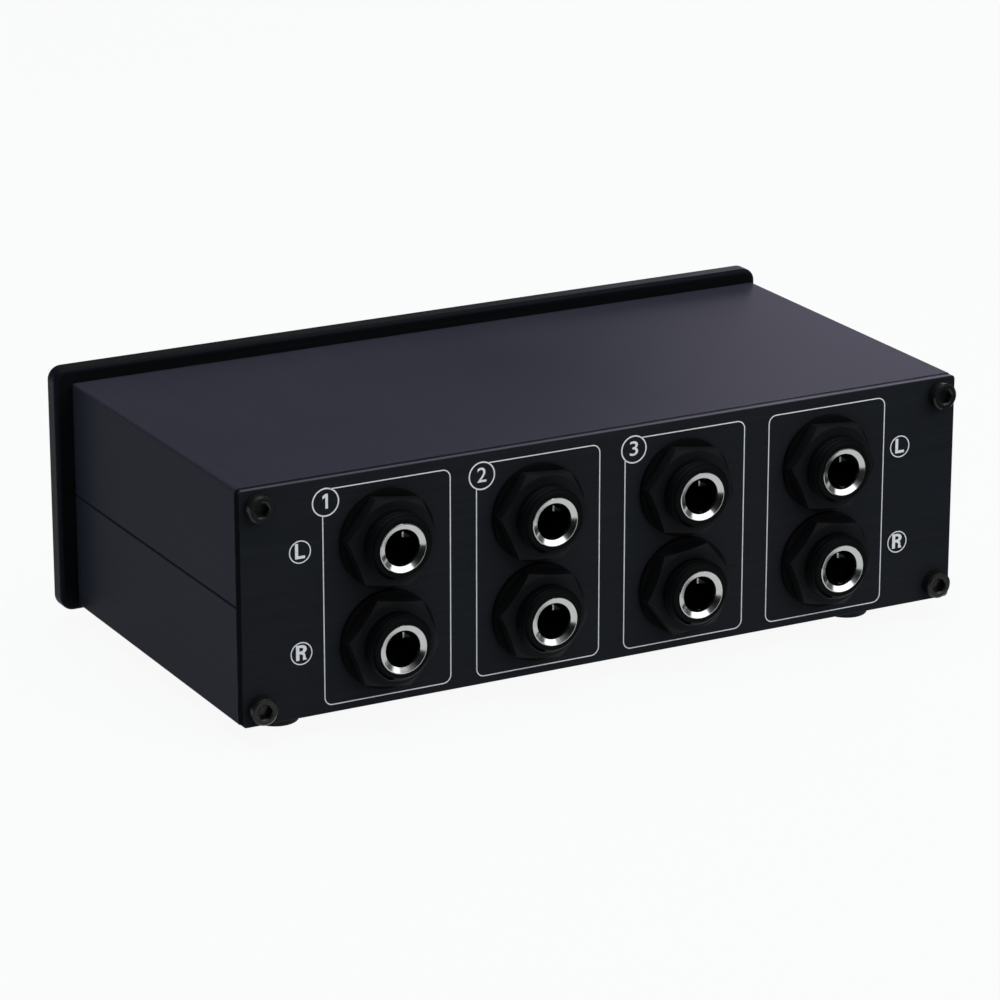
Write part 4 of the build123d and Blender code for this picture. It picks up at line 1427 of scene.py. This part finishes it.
@dataclass
class Studio:
    """The floor, the plain soft light and the camera."""

    floor_radius: float = 4.0
    floor_steps: int = 96
    floor_fleck: float = 30.0
    floor_colour: Colour = (0.48, 0.59, 0.62)
    floor_pale: float = 1.01
    floor_white: float = 0.93
    card_colour: Colour = (0.02, 0.02, 0.02)
    room_colour: Colour = (0.13, 0.13, 0.14)
    lamps: tuple[Lamp, ...] = (
        Lamp("key_softbox", (-0.42, 0.71, 0.505), 1.0, 0.5, 4.0),
        Lamp("overhead_softbox", (0.05, 0.0, 0.85), 0.8, 0.8, 5.4),
        Lamp("far_softbox", (-0.722, -0.697, 0.354), 0.5, 0.5, 2.0, tint=(0.86, 0.82, 1.0)),
    )
    lamp_aim: Point = (0.0, 0.0, 0.03)
    cards: tuple[Card, ...] = (
        Card("studio_upright_card", (0.045, 0.135, 0.035), 0.15, 0.07),
        Card("studio_lying_card", (-0.22, 0.15, 0.002), 0.27, 0.30, lying=True),
    )
    camera_place: Point = (0.3752, 0.7040, 0.2870)
    camera_yaw: float = 208.204
    camera_pitch: float = 18.416
    lens: float = 161.6
    sensor: float = 36.0
    seen_from: float = 0.01
    seen_to: float = 20.0

    def build(self) -> None:
        """Set up everything that isn't part of the object."""
        self.lay_floor()
        for card in self.cards:
            self.place_card(card)
        self.light_room()
        for lamp in self.lamps:
            self.hang(lamp)
        self.set_camera()
        bpy.context.scene.view_settings.view_transform = "Standard"

    def lay_floor(self) -> None:
        """A large round matt floor. It shows white, in metal too, and keeps a light shadow."""
        select_only()
        bpy.ops.mesh.primitive_circle_add(
            vertices=self.floor_steps, radius=self.floor_radius, fill_type="NGON"
        )
        floor = newest("studio_floor")
        paint = Paint("floor_paper")
        pale = tuple(channel * self.floor_pale for channel in self.floor_colour)
        colour = paint.mix(paint.noise(self.floor_fleck), self.floor_colour, pale)
        paint.set(Base_Color=colour, Roughness=0.9, Specular_IOR_Level=0.1)
        rays = paint.node("ShaderNodeLightPath")
        kinds = ("Camera", "Glossy", "Transmission")
        camera, glossy, clear = (paint.out(rays, f"Is {kind} Ray") for kind in kinds)
        paint.glow(camera.most(glossy).most(clear) * self.floor_white)
        dress(paint.material, floor)

    def place_card(self, card: Card) -> None:
        """Put up a black card that only glossy surfaces see.

        Args:
            card: The card.
        """
        piece = new_plane(card.name)
        with editing(piece):
            resize(card.width, card.height)
            if not card.lying:
                tip_up()
            shift(*card.middle)
        paint = Paint("black_card")
        paint.set(Base_Color=self.card_colour, Roughness=1.0, Specular_IOR_Level=0.0)
        dress(paint.material, piece)
        for rays in ("camera", "diffuse", "shadow", "transmission"):
            setattr(piece, f"visible_{rays}", False)

    def light_room(self) -> None:
        """An even dim grey room all round."""
        world = bpy.data.worlds.new("room")
        world.use_nodes = True
        background = world.node_tree.nodes["Background"]
        background.inputs["Color"].default_value = (*self.room_colour, 1.0)
        background.inputs["Strength"].default_value = 1.0
        bpy.context.scene.world = world

    def hang(self, lamp: Lamp) -> None:
        """Hang a softbox and turn it towards the object.

        Args:
            lamp: The lamp.
        """
        light = bpy.data.lights.new(lamp.name, "AREA")
        light.shape = "RECTANGLE"
        light.size, light.size_y = lamp.width, lamp.height
        light.color = lamp.tint
        light.energy = lamp.power
        self.set_up(light, lamp.place, Vector(self.lamp_aim) - Vector(lamp.place))

    def set_camera(self) -> None:
        """Put the camera behind the box, a little to its left and above it."""
        yaw, pitch = math.radians(self.camera_yaw), math.radians(self.camera_pitch)
        level = math.cos(pitch)
        ahead = Vector((math.sin(yaw) * level, math.cos(yaw) * level, -math.sin(pitch)))
        data = bpy.data.cameras.new("camera")
        data.sensor_width = self.sensor
        data.lens = self.lens
        data.clip_start, data.clip_end = self.seen_from, self.seen_to
        bpy.context.scene.camera = self.set_up(data, self.camera_place, ahead)

    def set_up(self, data: bpy.types.ID, place: Point, ahead: Vector) -> bpy.types.Object:
        """Put a lamp or a camera into the scene.

        Args:
            data: The light or camera, whose name it takes.
            place: Where it stands.
            ahead: The way it looks.

        Returns:
            The new object.
        """
        thing = bpy.data.objects.new(data.name, data)
        thing.location = place
        thing.rotation_euler = ahead.to_track_quat("-Z", "Y").to_euler()
        bpy.context.scene.collection.objects.link(thing)
        return thing


def main() -> None:
    """Load the frame, dress it, add the new pieces, and set up the studio."""
    logging.basicConfig(level=logging.INFO, format="%(name)s: %(message)s")
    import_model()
    select_only()
    ink = PrintedInk("screen_ink", (0.96, 0.92, 0.95), roughness=0.55, specular=0.3)
    printer = Printer()
    Case(
        shell=AnodisedExtrusion(
            "satin_anodising", (0.030, 0.0305, 0.044), roughness=0.33, specular=0.008,
            tint=(0.78, 0.74, 1.0),
        ),
        rear=BrushedPlate(
            "brushed_rear_panel", (0.0142, 0.0156, 0.0190), roughness=0.42, specular=0.03,
            lit_top_edge_colour=(0.068, 0.068, 0.092), shaded_edge_colour=(0.002, 0.0024, 0.0032),
            edge_dullness=0.5, seam=1.15, streak=0.13,
        ),
        front=BrushedPlate(
            "brushed_front_panel", (0.0050, 0.0055, 0.0065), roughness=0.40, specular=0.03,
            node="front_panel", corner=2.6, lit_top_edge_colour=(0.0070, 0.0075, 0.0085),
            shaded_edge_colour=(0.0052, 0.0075, 0.0115), edge_reach=0.8, unshaded_face_level=2.4,
        ),
        screws=EvenGrain("black_oxide", (0.0080, 0.0082, 0.0086), roughness=0.26, specular=0.24),
        feet=Rubber("foot_rubber_moulding", (0.010, 0.010, 0.010), roughness=0.8, specular=0.2),
    ).build()
    Sockets(
        body=MouldedNylon("socket_nylon", (0.0022, 0.0027, 0.0030), roughness=0.52, specular=0.045),
        nut=MouldedNylon("nut_nylon", (0.0050, 0.0060, 0.0070), roughness=0.60, specular=0.10),
        washer=MouldedNylon("washer_fibre", (0.003, 0.003, 0.003), roughness=0.68, specular=0.05),
        ring=PlatedRing("bright_plating", (0.50, 0.515, 0.51), roughness=0.13, metallic=1.0),
        spring=CrownWearAndGlintSpring("tinned_bronze", (0.92, 0.91, 0.88), roughness=0.40, metallic=1.0),
    ).build()
    Selector(
        cast=EvenGrain("cast_zinc", (0.36, 0.36, 0.35), roughness=0.5, metallic=1.0),
        steel=TurnedMetal("nickel_plate", (0.66, 0.65, 0.62), roughness=0.2, metallic=1.0),
        moulding=EvenGrain("phenolic", (0.03, 0.028, 0.028), roughness=0.45),
        contact=EvenGrain("silvered_bronze", (0.84, 0.80, 0.70), roughness=0.28, metallic=1.0),
        laminate=Laminate("solder_mask", (0.012, 0.09, 0.035), roughness=0.3),
        wire=EvenGrain("tinned_copper", (0.78, 0.77, 0.74), roughness=0.3, metallic=1.0),
    ).build()
    RearPrint(printer, ink).build()
    DialPrint(printer, ink).build()
    Knob(
        metal=TurnedMetal("knob_anodising", (0.010, 0.010, 0.011), roughness=0.32, specular=0.4),
        paint=PrintedInk("pointer_paint", (0.78, 0.78, 0.76), roughness=0.5, specular=0.4),
    ).build()
    Studio().build()


if __name__ == "__main__":
    main()
